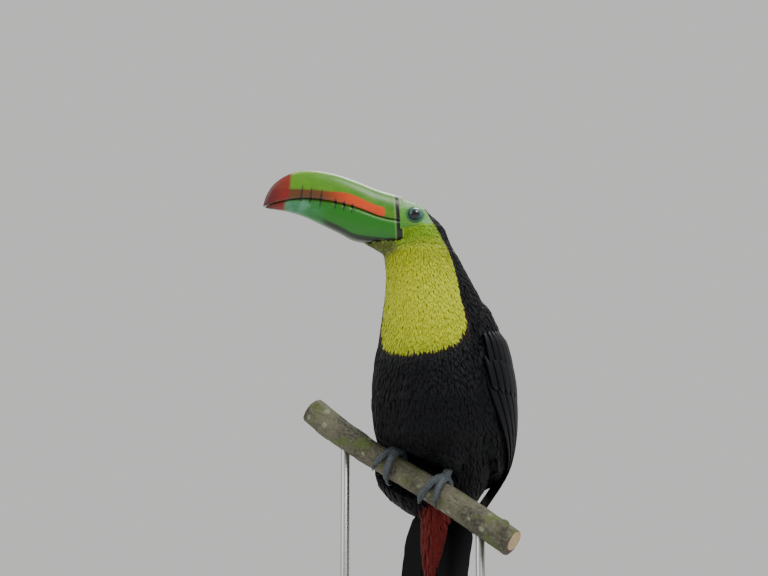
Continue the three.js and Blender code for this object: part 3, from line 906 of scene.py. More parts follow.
def bill_paint(upper):
    """Horn of the bill, marked by the share of its length, the height and the distance from its edges."""
    paint = Paint("bill_upper" if upper else "bill_lower")
    hues = settings("bill")
    face = settings("plumage")
    reach = paint.stored("reach")
    lift = paint.stored("lift")
    mouth = paint.stored("mouth")
    crest = paint.stored("crest")
    length = reach * BILL_LENGTH
    streak = paint.cloud(1.0, 4.0, paint.vector(reach * 9.0, lift * 0.5, mouth * 0.25))
    haze = paint.cloud(90.0, 3.0)
    wander = (haze - 0.5) * 6.0
    if upper:
        green = paint.mix(reach.between(0.15, 0.75), hues.upper, hues.upper_far)
        base = paint.mix(haze.between(0.35, 0.7) * 0.35, green, tone("6c9014"))
        # Painted highlight: a pale yellow-green line along the ridge of the upper jaw
        base = paint.mix((crest + wander * 0.3).between(4.0, 0.6) * 0.6, base, tone("a3b971"))
        top = 17.2 - reach.between(0.42, 0.1) * 10.0 - reach.between(0.62, 0.9) * 2.0
        ends = (length + wander * 0.3 - (lift - 3.0) * (lift - 3.0) * 0.035).between(13.0, 15.5)
        hot = paint.mix(reach.between(0.3, 0.62), hues.blaze, hues.blaze_far)
        base = paint.mix((lift + wander * 0.25 - top).between(0.8, -1.2) * ends * 0.95, base, hot)
        tip = (length - (10.0 - lift).most(0.0) * 0.6 + wander * 0.4).between(100.5, 104.5)
        ticks = TICKS_UP
    else:
        base = paint.mix(reach.between(0.5, 0.85), hues.lower, hues.lower_far)
        base = paint.mix((haze * reach).between(0.28, 0.5) * 0.5, base, tone("62a083"))
        base = paint.mix((mouth + wander * 0.2).between(4.0, 0.5) * 0.35, base, tone("5d9020"))
        # Painted shade: near-black along the lower edge of the jaw's back half, on its underside
        keel_shade = (crest + wander * 0.1).between(5.4, 4.4) * reach.between(0.62, 0.5)
        base = paint.mix(keel_shade * 0.92, base, tone("10140a"))
        tip = (length + wander * 0.3).between(104.0, 108.5)
        ticks = TICKS_DOWN
    maroon = paint.mix(reach.between(0.84, 1.0), hues.tip, tone("480e11"))
    base = paint.mix(tip * 0.96, base, maroon)
    for place, height in zip(NOTCHES, ticks):
        wide = 0.9 * (1.0 - (mouth / height).least(1.0)) + 0.15
        across = abs((reach - place) * BILL_LENGTH + mouth * (0.1 if upper else -0.1))
        mark = (across - wide).between(0.45, -0.15) * (mouth - height).between(1.0, -1.5)
        base = paint.mix(mark * 0.85, base, tone("141808"))
    # Painted shade: darker along the seam where the two jaws meet
    base = paint.mix(mouth.between(0.9, 0.1) * 0.5, base, tone("23240c"))
    line = abs(length - LINE_PLACE) - 0.5
    base = paint.mix(line.between(0.8, -0.2) * 0.15, base, tone("c6cf7e"))
    base = paint.mix((length + wander * 0.08 - BAND_END).between(0.5, -0.4), base, tone("07090a"))
    rim = paint.mix(lift.between(6.0, 12.0) * 0.85, face.lores, face.brow) if upper else face.cheek
    base = paint.mix((length - HIDDEN_END).between(0.0, -0.8), base, rim)
    grain = 0.86 + streak * 0.28
    base = paint.mix(1.0, base, paint.vector(grain, grain, grain), "MULTIPLY")
    return paint.finish(
        base=base,
        rough=0.3 + streak * 0.14 + haze * 0.06,
        normal=paint.bump(streak * 0.6 + haze * 0.4, 0.0004, 0.45),
        coat=0.25,
        coat_rough=0.2,
        specular=0.35,
    )


def eye_paint():
    """A wet eye: a black pupil in a dark teal iris with fine rays and a pale outer ring."""
    paint = Paint("eye")
    ring = paint.stored("ring")
    spokes = paint.vector(paint.stored("spoke_x") * 6.0, paint.stored("spoke_y") * 6.0, ring * 1.2)
    rays = paint.cloud(1.0, 3.0, spokes)
    iris = paint.mix(rays, tone("0a2024"), tone("2a6068"))
    iris = paint.mix(ring.between(0.56, 0.68), iris, tone("4f7f70"))
    base = paint.mix((ring + (rays - 0.5) * 0.03).between(0.37, 0.42), (0.002, 0.002, 0.003), iris)
    base = paint.mix(ring.between(0.72, 0.8), base, tone("0b1512"))
    return paint.finish(
        base=base,
        rough=0.1 + ring.between(0.85, 1.2) * 0.3,
        normal=paint.bump(rays, 0.00005, 0.2),
        coat=0.6,
        coat_rough=0.02,
        specular=0.2,
    )


def foot_paint():
    """Blue-grey scutes, darker in the grooves and dusty on their rims."""
    paint = Paint("scaly_skin")
    groove = paint.stored("groove")
    mottle = paint.cloud(260.0, 4.0)
    grit = paint.cells(900.0)
    base = paint.mix(mottle, tone("1f262b"), tone("383f44"))
    base = paint.mix(groove, base, tone("0c1013"))
    base = paint.mix((grit * 1.4).between(0.5, 0.95) * 0.4, base, tone("535c60"))
    return paint.finish(
        base=base,
        rough=0.5 + mottle * 0.2,
        normal=paint.bump(mottle * 0.5 + grit * 0.6 - groove * 0.8, 0.0004, 0.7),
    )


def claw_paint():
    """Near-black horn with a long grain."""
    paint = Paint("claw")
    grain = paint.cloud(300.0, 3.0, stretch=(1.0, 1.0, 0.3))
    return paint.finish(
        base=paint.mix(grain, tone("14161a"), tone("2d2f33")),
        rough=0.28 + grain * 0.16,
        normal=paint.bump(grain, 0.0002, 0.4),
    )


def bark_paint():
    """Grey-brown bark with pale lichen, dark pits and a little moss; the cut ends are pale, with rings."""
    paint = Paint("bark")
    cut = paint.stored("cut")
    ring = paint.stored("ring")
    furrow = paint.stored("furrow")
    broad = paint.cloud(38.0, 5.0)
    fine = paint.cloud(420.0, 5.0)
    patch = paint.cells(70.0)
    base = paint.mix(broad.between(0.35, 0.66), tone("2d2b22"), tone("5b5846"))
    base = paint.mix(fine.between(0.4, 0.7) * 0.5, base, tone("716d58"))
    base = paint.mix((patch + fine * 0.35).between(0.42, 0.3) * 0.75, base, tone("858a70"))
    base = paint.mix(paint.cloud(60.0, 4.0).between(0.52, 0.66) * 0.7, base, tone("48561c"))
    base = paint.mix(furrow.between(0.5, 1.0) * 0.75, base, tone("231d15"))
    rings = ((ring * 95.0 + fine * 3.0).sine() * 0.5 + 0.5) ** 2.0
    wood = paint.mix(rings * 0.6, tone("b39a72"), tone("7d6344"))
    wood = paint.mix(ring.between(0.86, 0.93), wood, tone("3b2f22"))
    base = paint.mix(cut, base, wood)
    height = broad * 0.4 + fine * 0.5
    return paint.finish(
        base=base,
        rough=0.82 - cut * 0.1,
        normal=paint.bump(height - furrow * 0.3, 0.0012, 0.8),
    )


def plinth_paint():
    """Dark stained wood with long grain under satin varnish."""
    paint = Paint("base_wood")
    grain = paint.cloud(26.0, 6.0, stretch=(0.6, 7.0, 7.0))
    pores = paint.cloud(240.0, 3.0, stretch=(0.12, 3.0, 3.0))
    base = paint.mix(grain.between(0.3, 0.7), settings("stand").wood, tone("4a3120"))
    base = paint.mix(pores.between(0.56, 0.66) * 0.6, base, tone("140d08"))
    return paint.finish(
        base=base,
        rough=0.34 + pores * 0.18,
        normal=paint.bump(pores, 0.0003, 0.3),
        coat=settings("stand").gloss,
        coat_rough=0.22,
    )


def steel_paint():
    """Rod steel, drawn and brushed round."""
    paint = Paint("rod_steel")
    lines = paint.cloud(30.0, 3.0, stretch=(1.0, 1.0, 60.0))
    smear = paint.cloud(45.0, 3.0)
    return paint.finish(
        base=paint.mix(lines, (0.4, 0.4, 0.39), (0.56, 0.56, 0.55)),
        metal=1.0,
        rough=0.26 + lines * 0.14 + smear * 0.08,
        normal=paint.bump(lines, 0.00006, 0.3),
    )


def floor_paint():
    """Plain pale backdrop with hardly any variation."""
    paint = Paint("floor")
    haze = paint.cloud(3.0, 3.0)
    return paint.finish(base=paint.mix(haze, (0.72, 0.72, 0.71), (0.76, 0.76, 0.75)), rough=0.85)


# ---------------------------------------------------------------- markings


def over_line(forward, up, line):
    """How far places lie over a sloping line at the side of the head."""
    start, height, slope = line
    return up - height - slope * (forward - start)


def marks(points):
    """How far each marking, and the painted shade under the bill, holds, 0 to 1, at points near the bird's
    surface.
    """
    f, s, u = from_head(points).T
    x, y, height = points.T
    jitter = 0.6 * rippled(points, 5.0, 3.0) + 0.4 * rippled(points, 1.8, 8.0)
    turned = smooth(*NECK_TURN, height)
    away = np.abs(wrapped(turn_at(points) + HEAD_YAW * turned - BIB_ASIDE * (1 - turned)))
    half = BIB_HALF + BIB_WIDER * smooth(*BIB_WIDENS, height)
    reach = (away / half) ** 2.2 + (np.maximum(0, BIB_WIDEST - height) / BIB_DROP) ** 2.2 + 0.03 * jitter
    head = smooth(*HEAD_FADE, height)
    crown = smooth(-0.5, 0.5, over_line(f, u, CAP_EDGE) / 1.88 + 0.7 * jitter)
    strip = (1 - smooth(2.4, 3.8, np.abs(s) + 0.5 * jitter)) * smooth(5, 8, u)
    cap = np.maximum(crown, strip)
    below = -over_line(f, u, FACE_EDGE) + 0.8 * jitter
    bare = (1 - smooth(-1.0, 1.0, below)) * (1 - cap) * head
    rows = np.array(TAIL[::-1])
    middle = np.interp(height, rows[:, 2], rows[:, 1])
    low = height < VENT_TOP
    vent = np.full(len(points), np.inf)
    vent[low] = distance_to(nearness(("undertail_coverts",)), points[low])
    red = smooth(*VENT_FADE, height) * smooth(2.0, -2.0, y - middle) * smooth(2.2, 1.6, vent)
    white = smooth(*RUMP_FADE, height) * smooth(5.0, 8.0, y - middle) * smooth(24.0, 21.0, np.abs(x + 4.0))
    hem = smooth(0.98, 1.03, reach) * smooth(1.16, 1.06, reach) * smooth(*HEM_FADE, height)
    return {
        "yellow": head * (1 - cap) + (1 - head) * (1 - smooth(0.97, 1.03, reach)),
        "hem": (1 - head) * hem,
        "bare": bare,
        "below": below,
        # Where the painted shade under the bill holds
        "chin": smooth(*CHIN_SHADE_FADE, height) * smooth(-2, 5, f) * smooth(-17, -22, u),
        "red": red,
        "white": white,
        "eye": np.linalg.norm(np.stack([f - EYE_PLACE[0], u - EYE_PLACE[2]]), axis=0),
        "f": f,
        "u": u,
        "jitter": jitter,
    }


def plumage(points):
    """The bird's colour at points near its surface, for skin and feathers alike, with painted light and shade
    on the bib.
    """
    m = marks(points)
    tones = plumage_tones()
    height = points[:, 2]
    nape = smooth(*NAPE_FADE, height) * smooth(-20, 20, points[:, 1])
    black = mixed(nape, tones["black"], tones["nape"])
    # Painted light and shade on the bib: paler across the middle of the breast, darker at its foot and at the
    # upper throat
    mid = np.exp(-(((height - 402) / 34) ** 2)) * (0.8 + 0.3 * m["jitter"])
    bib = mixed(np.clip(mid, 0, 1), tones["bib"], tones["bib_pale"])
    bib = mixed(smooth(*BIB_FOOT_SHADE, height) * 0.55, bib, tones["bib_deep"])
    bib = mixed(smooth(*BIB_TOP_SHADE, height) * 0.6, bib, tones["bib_deep"])
    bib = mixed((1 - smooth(5, 30, m["below"])) * smooth(*CHEEK_FADE, height), bib, tones["cheek"])
    # Painted shade under the bill: the chin darkened to dusky olive
    bib = mixed(m["chin"] * 0.9, bib, tones["chin"])
    near = 1 - smooth(6, 16, m["eye"])
    face = mixed(smooth(-8, 2, m["f"]) * 0.8, tones["face"], tones["lores"])
    face = mixed(smooth(6, 12, m["u"]) * 0.85, face, tones["brow"])
    face = mixed(smooth(-19, -25, m["f"]) * 0.6, face, tones["brow"])
    face = mixed(near * smooth(2, -6, m["u"]) * 0.5, face, tones["cheek"])
    face = mixed((1 - smooth(7.2, 9.0, m["eye"])) * 0.85, face, tones["lid"])
    yellow = mixed(m["bare"], bib, face)
    colour = mixed(m["yellow"], black, yellow)
    colour = mixed(m["hem"] * 0.8, colour, tones["hem"])
    colour = mixed(m["red"], colour, tones["red"])
    return mixed(m["white"], colour, tones["white"])


def flow(points, normals):
    """The way feathers lie at points of the body, along its surface."""
    u = from_head(points)[:, 2]
    head = smooth(*FLOW_FADE, points[:, 2])
    slope = 0.12 + 0.95 * (1 - smooth(-18, 6, u))
    back = np.stack([-np.ones(len(points)), np.zeros(len(points)), -slope], axis=-1) @ HEAD_AXES.T
    wave = rippled(points, 26.0, 5.0) * 0.16
    drift = 0.1 + 0.3 * (1 - smooth(230, 280, points[:, 2]))
    down = np.stack([wave, drift, -np.ones(len(points))], axis=-1)
    way = unit(mixed(head, down, back))
    return unit(way - normals * np.sum(way * normals, axis=-1, keepdims=True))


# ---------------------------------------------------------------- body and coat


@cache
def body_form():
    """The bird's outer shape with the bill's root: points, faces, normals and a tree to find places on it."""
    plug = [half_bill(rows[:2], upper, 6, 24, 6)[:2] for rows, upper in ((MAXILLA, True), (MANDIBLE, False))]
    points, faces = merged_shell(FLESH + COVERTS + EYES, FORM_CELL, plug)
    points = relaxed(points, faces, 24)
    return points, faces, normals_of(points, faces), BVHTree.FromPolygons(points.tolist(), rows_of(faces))


def rows_of(faces):
    """Every face as a list of its corners."""
    return [row for f in faces for row in f.tolist()]


def onto(tree, points):
    """The nearest places on a surface, and its smooth facing there."""
    found = [tree.find_nearest(p) for p in points]
    return np.array([r[0] for r in found]), np.array([r[1] for r in found])


def coat_depth(points):
    """How deep the skin lies below the coat's outside."""
    m = marks(points)
    body = settings("coat").depth / MM
    depth = body + (BIB_DEPTH - body) * m["yellow"]
    head = smooth(*THIN_FADE, points[:, 2])
    depth = depth + (HEAD_DEPTH - depth) * head
    return depth * (1 - 0.85 * m["bare"])


def lid_height(radius, angle, jitter):
    """Height of the lids and the folds round the eye over the face, by distance from the eye's middle."""
    rim = 0.85 * np.exp(-(((radius - LID_RADIUS - 0.75) / 0.6) ** 2))
    groove = -0.3 * np.exp(-(((radius - LID_RADIUS - 2.1) / 0.5) ** 2))
    fold = 0.42 * np.exp(-(((radius - LID_RADIUS - 3.2 - 0.5 * jitter) / 0.7) ** 2))
    outer = 0.24 * np.exp(-(((radius - LID_RADIUS - 5.4 - 0.8 * jitter) / 0.7) ** 2))
    return rim + groove + fold * (0.75 + 0.25 * np.cos(2 * angle)) + outer * (0.6 + 0.4 * jitter)


def eye_frame(side):
    """Middle of an eyeball, and its axes: out of the head, forward and up."""
    middle = in_head(EYE_PLACE * (1, side, 1))
    out = unit(np.array((0.1, float(side), 0.05)) @ HEAD_AXES.T)
    fore = unit(np.array((1.0, -0.1 * side, 0.0)) @ HEAD_AXES.T)
    return middle, out, fore, np.cross(out, fore) * side


def finer(points, faces, chosen, rounds):
    """Divides the faces whose points are all chosen, a number of times."""
    grid = bmesh.new()
    mesh = mesh_from("finer", points, faces)
    grid.from_mesh(mesh)
    bpy.data.meshes.remove(mesh)
    for _ in range(rounds):
        own = np.array([v.co for v in grid.verts]) / MM
        held = chosen(own)
        grid.verts.index_update()
        edges = [e for e in grid.edges if held[e.verts[0].index] and held[e.verts[1].index]]
        bmesh.ops.subdivide_edges(grid, edges=edges, cuts=1, use_grid_fill=True)
    made = bpy.data.meshes.new("finer")
    grid.to_mesh(made)
    grid.free()
    found = arrays_of(made)
    bpy.data.meshes.remove(made)
    return found


def face_rim(points):
    """How far the skin swells round the bill's root, and then dives in under the horn."""
    f, _, u = from_head(points).T
    length = f - BILL_SLANT * u
    at_bill = distance_to(nearness(BILL), points) < distance_to(nearness(FLESH + COVERTS), points)
    swell = RIM_SWELL * np.exp(-(((length - RIM_PLACE + 1.0) / 2.2) ** 2))
    swell = swell * smooth(-32, -26, u) * smooth(20, 12, u)
    dive = -RIM_DIVE * smooth(RIM_PLACE - 0.2, RIM_PLACE + 1.2, length)
    return np.where(length < RIM_PLACE - 0.2, swell, np.where(at_bill | (u > -16), swell + dive, 0.0))


def on_face(points):
    """Whether places are on the head round the eyes and the bill's root."""
    f, _, u = from_head(points).T
    return (f > -30) & (f < 5) & (u > -23)


def sunk_form():
    """The body's form under the coat, with the face in finer faces and its rim against the bill."""
    points, faces, normals, tree = body_form()
    inward = [tree.ray_cast(p - n * 0.02, -n)[3] or 50.0 for p, n in zip(points, normals)]
    depth = np.minimum(coat_depth(points), 0.3 * np.array(inward))
    points, faces = finer(points - normals * depth[:, None], faces, on_face, 2)
    points = np.where(on_face(points)[:, None], relaxed(points, faces, 4), points)
    return points + normals_of(points, faces) * face_rim(points)[:, None], faces


def skin_surface():
    """The skin: wrinkles on the bare face, lids and folds round each eye, and a pit for the eyeball."""
    points, faces = sunk_form()
    normals = normals_of(points, faces)
    bare = marks(points)["bare"]
    wide = rippled(points, 4.5, 2.0)
    rise = bare * (0.16 * rippled(points, 1.5, 1.0) + 0.12 * rippled(points, 0.75, 4.0))
    for side in SIDES.values():
        middle, out, fore, up = eye_frame(side)
        arm = points - middle
        height = arm @ out
        across = np.stack([arm @ fore, (arm @ up) * 1.06], axis=-1)
        radius = np.linalg.norm(across, axis=-1)
        angle = np.arctan2(across[:, 1], across[:, 0])
        here = (height > -2) & (radius < 20)
        folds = lid_height(radius, angle, wide)
        rays = 0.16 * np.sin(radius * 2.5 + 2.2 * wide) * smooth(8, 12, radius) * smooth(20, 16, radius)
        rise = rise + np.where(here, folds + rays * bare, 0)
        pit = here & (radius < LID_RADIUS)
        floor = np.sqrt(np.maximum(EYE_RADIUS**2 - radius**2, 0)) - 1.5
        points = np.where(pit[:, None], points + out * (floor - height)[:, None], points)
        rise = np.where(pit, 0, rise)
    return points + normals * rise[:, None], faces


def make_skin():
    """The one skin, from the bill's root to the coverts under and over the tail."""
    points, faces = skin_surface()
    mesh = mesh_from("skin", points, faces)
    give(mesh, "tone", plumage(points))
    give(mesh, "bare", marks(points)["bare"])
    put("skin", mesh, skin_paint(), FLESH + COVERTS)


def scattered(places, areas, spacing, random):
    """Even random places on triangles, none nearer to another than the spacing."""
    count = int(areas.sum() / spacing**2 * 3.0)
    chosen = random.choice(len(areas), count, p=areas / areas.sum())
    a, b = random.random((2, count))
    flip = a + b > 1
    a, b = np.where(flip, 1 - a, a), np.where(flip, 1 - b, b)
    p = places[chosen]
    spots = p[:, 0] + (p[:, 1] - p[:, 0]) * a[:, None] + (p[:, 2] - p[:, 0]) * b[:, None]
    taken = {}
    kept = []
    limit = spacing * spacing
    cells = np.floor(spots / spacing).astype(int).tolist()
    values = spots.tolist()
    around = [(i, j, k) for i in (-1, 0, 1) for j in (-1, 0, 1) for k in (-1, 0, 1)]
    for index, ((i, j, k), (x, y, z)) in enumerate(zip(cells, values)):
        clear = True
        for di, dj, dk in around:
            for ox, oy, oz in taken.get((i + di, j + dj, k + dk), ()):
                if (x - ox) ** 2 + (y - oy) ** 2 + (z - oz) ** 2 < limit:
                    clear = False
                    break
            if not clear:
                break
        if clear:
            taken.setdefault((i, j, k), []).append((x, y, z))
            kept.append(index)
    return spots[kept]


# Shares of a small feather's length and width, row by row, and of its width, column by column
VANE_ROWS = np.array((0.0, 0.36, 0.74, 0.93))
VANE_WIDTHS = np.array((0.4, 0.95, 0.92, 0.5))
VANE_COLUMNS = np.array((-1.0, -0.5, 0.0, 0.5, 1.0))


def vane_faces(rows, columns):
    """Faces of one closed vane over a grid of points: its top, its underside and its two ends."""
    grid = np.arange(rows * columns).reshape(rows, columns)
    top = np.stack([grid[:-1, :-1], grid[:-1, 1:], grid[1:, 1:], grid[1:, :-1]], axis=-1).reshape(-1, 4)
    under = np.stack([grid[:-1, 0], grid[1:, 0], grid[1:, -1], grid[:-1, -1]], axis=-1)
    return top, under, np.stack([grid[0, ::-1], grid[-1]])


def small_vanes(tree, roots, size, random):
    """Closed, arched, ragged feathers lying along a surface from their roots."""
    count = len(roots)
    _, normals = onto(tree, roots)
    ways = flow(roots, normals)
    ways = unit(ways + np.cross(normals, ways) * random.normal(0, STRAY, (count, 1)))
    sides = np.cross(normals, ways)
    lengths = settings("coat").length * size["length"] * random.uniform(0.8, 1.2, count)
    halves = size["half"] * random.uniform(0.85, 1.15, count)
    rows, columns = len(VANE_ROWS), len(VANE_COLUMNS)
    along = np.broadcast_to(VANE_ROWS[None, :, None], (count, rows, columns)).copy()
    along[:, -1] += 0.09 * (1 - VANE_COLUMNS**2) + random.uniform(-0.09, 0.05, (count, columns))
    across = VANE_WIDTHS[None, :, None] * VANE_COLUMNS[None, None, :] * np.ones((count, 1, 1))
    points = (
        roots[:, None, None]
        + ways[:, None, None] * (along * lengths[:, None, None])[..., None]
        + sides[:, None, None] * (across * halves[:, None, None])[..., None]
    )
    places, facing = onto(tree, points.reshape(-1, 3))
    arch = size["arch"] * (1 - VANE_COLUMNS**2)[None, None, :] * VANE_WIDTHS[None, :, None]
    low, high = size["rise"]
    lift = low + (high - low) * along**0.8 + arch + random.uniform(-0.12, 0.12, (count, 1, 1))
    points = (places + facing * lift.reshape(-1, 1)).reshape(count, rows, columns, 3)
    each = rows * columns
    offsets = (np.arange(count) * each)[:, None, None]
    faces = [(own[None] + offsets).reshape(-1, own.shape[1]) for own in vane_faces(rows, columns)]
    middle = roots + ways * (lengths * 0.62)[:, None]
    tones = plumage(middle) * (1 + random.normal(0, VARY, (count, 1)))
    patch = np.stack([across * 0.5, along - 0.5], axis=-1) * PATCH
    values = {
        "along": along.reshape(-1),
        "across": np.tile(VANE_COLUMNS, count * rows),
        "seed": np.repeat(random.random(count), each),
        "tone": np.repeat(np.clip(tones, 0, 1), each, axis=0),
        "OFBake": (unwrap(roots)[:, None, None] + patch).reshape(-1, 2),
    }
    return points.reshape(-1, 3), faces, values


def put_vanes(name, parts, material, replaced=()):
    """Several sets of vanes as one piece: all the tops first, and then the flat undersides and ends."""
    offsets = np.cumsum([0] + [len(points) for points, _, _ in parts[:-1]])
    moved = [[f + offset for f in faces] for (_, faces, _), offset in zip(parts, offsets)]
    tops = [faces[0] for faces in moved]
    rest = [f for faces in moved for f in faces[1:]]
    mesh = mesh_from(name, np.concatenate([points for points, _, _ in parts]), tops + rest, len(tops))
    for key in parts[0][2]:
        values = np.concatenate([v[key] for _, _, v in parts])
        if key == "OFBake":
            give_map(mesh, values)
        else:
            give(mesh, key, values)
    put(name, mesh, material, replaced)


def form_triangles():
    """Triangles of the body's outer shape, and their areas."""
    points, faces, _, _ = body_form()
    corners = np.concatenate([f[:, [0, i, i + 1]] for f in faces for i in range(1, f.shape[1] - 1)])
    places = points[corners]
    cross = np.cross(places[:, 1] - places[:, 0], places[:, 2] - places[:, 0])
    return places, np.linalg.norm(cross, axis=-1) / 2


@cache
def coat_zones():
    """Triangles of the body's outer shape, sorted into the zones of its coat."""
    places, areas = form_triangles()
    middle = places.mean(axis=1)
    m = marks(middle)
    head = middle[:, 2] > HEAD_FOOT
    wings = distance_to(nearness(("wing_left", "wing_right")), middle) < 1.1
    clear = (m["bare"] < 0.35) & (distance_to(nearness(BILL), middle) > 0.8)
    yellow = m["yellow"] + m["hem"] > 0.4
    tail = (m["red"] + m["white"] > 0.3) & ~wings
    plain = clear & ~yellow & ~tail
    zones = {
        "cheeks": clear & yellow & head,
        "throat": clear & yellow & ~head & (middle[:, 2] > THROAT_FOOT),
        "bib": clear & yellow & ~head & (middle[:, 2] <= THROAT_FOOT),
        "cap": plain & head,
        "wings": plain & wings & ~head,
        "front": plain & ~wings & ~head & (np.abs(turn_at(middle)) < 90),
        "back": plain & ~wings & ~head & (np.abs(turn_at(middle)) >= 90),
        "tail": tail,
    }
    return {name: (places[held], areas[held]) for name, held in zones.items()}


def make_coat():
    """The small feathers, zone by zone."""
    _, _, _, tree = body_form()
    for finish, pieces in COAT_PIECES.items():
        paint = feather_paint(finish, *COAT_FINISHES[finish])
        for name, zone in pieces.items():
            size = COAT[zone]
            random = np.random.default_rng(size["seed"])
            spacing = size["spacing"] / math.sqrt(settings("coat").density)
            roots = scattered(*coat_zones()[zone], spacing, random)
            put_vanes(name, [small_vanes(tree, roots, size, random)], paint)


# ---------------------------------------------------------------- flight feathers and tail

LONG_COLUMNS = np.array((-1.0, -0.62, -0.28, 0.0, 0.28, 0.62, 1.0))


def long_vane(line, outs, half, arch, lean, random, blunt):
    """One closed flight feather along a line: a raised shaft, a narrow and a wide web and a round tip.

    lean over zero makes the web on the positive side the wide one.
    """
    rows = len(line)
    ways = unit(np.gradient(line, axis=0))
    sides = unit(np.cross(outs, ways))
    outs = np.cross(ways, sides)
    share = np.linspace(0, 1, rows)
    end = np.clip((share - 1 + blunt) / blunt, 0, 0.985)
    width = (0.3 + 0.7 * smooth(0, 0.16, share)) * np.sqrt(1 - end**2)
    webs = np.where(LONG_COLUMNS < 0, 1 - lean, 1 + lean)
    ragged = 1 + random.normal(0, 0.018, (rows, 2))[:, (LONG_COLUMNS > 0).astype(int)] * np.abs(LONG_COLUMNS)
    across = half * width[:, None] * LONG_COLUMNS * webs * ragged
    ridge = np.where(LONG_COLUMNS == 0, 0.12, 0.0) * (1 - 0.7 * share[:, None])
    lift = arch * width[:, None] * (1 - LONG_COLUMNS**2) + ridge
    points = line[:, None] + sides[:, None] * across[..., None] + outs[:, None] * lift[..., None]
    columns = len(LONG_COLUMNS)
    total = rows * columns
    patch = np.stack([across / half * 0.5, np.broadcast_to(share[:, None] - 0.5, across.shape)], axis=-1)
    values = {
        "along": np.repeat(share * rows * 0.8, columns),
        "across": np.tile(LONG_COLUMNS, rows),
        "seed": np.full(total, random.random()),
        "tone": np.tile(plumage_tones()["black"] * random.uniform(0.85, 1.15), (total, 1)),
        "OFBake": unwrap(line[:1]) + patch.reshape(-1, 2) * PATCH,
    }
    return points.reshape(-1, 3), vane_faces(rows, columns), values


WING_CURVE = curve_through(np.hstack([WING_OUT, WING_BAND]), 160)[::-1]


def wing_places(side, heights, shares):
    """Places on a folded wing's outside, by height and share of the way from its front edge to its back."""
    out, back, centre, thick, front, rear = (
        np.interp(heights, WING_CURVE[:, 0], WING_CURVE[:, i]) for i in range(1, 7)
    )
    angle = np.arccos(1 - 2 * np.clip(shares, 0.002, 0.998))
    turn = np.radians((front + rear) / 2 - (rear - front) / 2 * np.cos(angle))
    inset = thick / 2 * (1 - np.sin(angle))
    x = side * (out - inset) * np.sin(turn)
    y = centre - (back - inset) * np.cos(turn)
    outs = np.stack([side * np.sin(turn), -np.cos(turn), np.zeros(len(turn))], axis=-1)
    return np.stack([x, y, heights], axis=-1), outs


# Rows of wing feathers: how many, root and tip heights at the wing's front and back, half width, lift
WING_ROWS = (
    {"count": 11, "root": (342.0, 352.0), "tip": (203.0, 262.0), "half": 8.2, "lift": (0.4, 1.7)},
    {"count": 13, "root": (352.0, 368.0), "tip": (318.0, 300.0), "half": 6.2, "lift": (1.9, 2.1)},
    {"count": 14, "root": (372.0, 384.0), "tip": (340.0, 328.0), "half": 5.6, "lift": (2.2, 2.4)},
)
# The first row's feathers are long, and their tips draw together at this share of the way to the back
TIPS_MEET = 0.52


def wing_feathers(side, random):
    """Vanes of one folded wing: flight feathers, and two rows of coverts over their roots."""
    parts = []
    for row in WING_ROWS:
        long = row is WING_ROWS[0]
        share = np.linspace(0, 1, 18 if long else 9)
        for place in np.linspace(0, 1, row["count"]):
            top = row["root"][0] + place * (row["root"][1] - row["root"][0])
            end = row["tip"][0] + place * (row["tip"][1] - row["tip"][0]) + random.uniform(-1.5, 1.5)
            root = 0.06 + 0.9 * place
            tip = TIPS_MEET + 0.2 * (place - 0.4) if long else root + 0.05
            heights = top + (end - top) * share
            line, outs = wing_places(side, heights, root + (tip - root) * share**1.3)
            low, high = row["lift"]
            stack = low + (high - low) * place + random.uniform(-0.08, 0.08)
            lift = -1.6 + (1.6 + stack) * smooth(0, 0.3, share) - 0.35 * stack * smooth(0.6, 1.0, share)
            line = line + outs * lift[:, None]
            parts.append(long_vane(line, outs, row["half"], 0.7, 0.22 * side, random, 0.16))
    return parts


def make_wings():
    """Both folded wings' feathers, with their tips."""
    random = np.random.default_rng(41)
    paint = feather_paint("flight_feathers", 0.44, 0.0, 0.35)
    for name, side in SIDES.items():
        parts = wing_feathers(side, random)
        put_vanes(f"wing_feathers_{name}", parts, paint, (f"wing_tip_{name}",))


# Tail feathers: heights of their roots and tips and where the tail has its full half width, then, from the
# middle pair out, share of the half width, how far forward and how much shorter
TAIL_ROOT = 226.0
TAIL_TIP = 58.0
TAIL_FULL = 190.0
TAIL_HALF = 31.5
TAIL_PAIRS = ((0.14, 1.0, 0.0), (0.33, 0.5, 2.0), (0.5, 0.0, 5.0), (0.63, -0.5, 9.0), (0.72, -1.0, 14.0))


def make_tail():
    """Ten feathers, the middle pair over the others."""
    random = np.random.default_rng(43)
    curve = curve_through(TAIL, 200)
    parts = []
    for place, layer, short in TAIL_PAIRS:
        for side in SIDES.values():
            end = TAIL_TIP + short + random.uniform(0, 1.5)
            heights = np.linspace(TAIL_ROOT, end, 22)
            x, y, half, thick, arch = (
                np.interp(heights, curve[::-1, 2], curve[::-1, i]) for i in (0, 1, 3, 4, 5)
            )
            half = np.where(heights > TAIL_FULL, np.maximum.accumulate(half), TAIL_HALF)
            rise = arch * (1 - place**2) + np.maximum(thick, 1.8) * 0.72 * layer + 0.22 * side
            line = np.stack([x + side * place * half, y + rise, heights], axis=-1)
            slope = 2 * arch / np.maximum(half, 1) * place * side
            outs = unit(np.stack([slope, np.ones(len(x)), np.zeros(len(x))], axis=-1))
            parts.append(long_vane(line, outs, 9.2, 0.35, -0.18 * side, random, 0.09))
    paint = feather_paint("tail_feathers", 0.46, 0.0, 0.35)
    put_vanes("tail_feathers", parts, paint, ("tail",))


# ---------------------------------------------------------------- bill and eyes


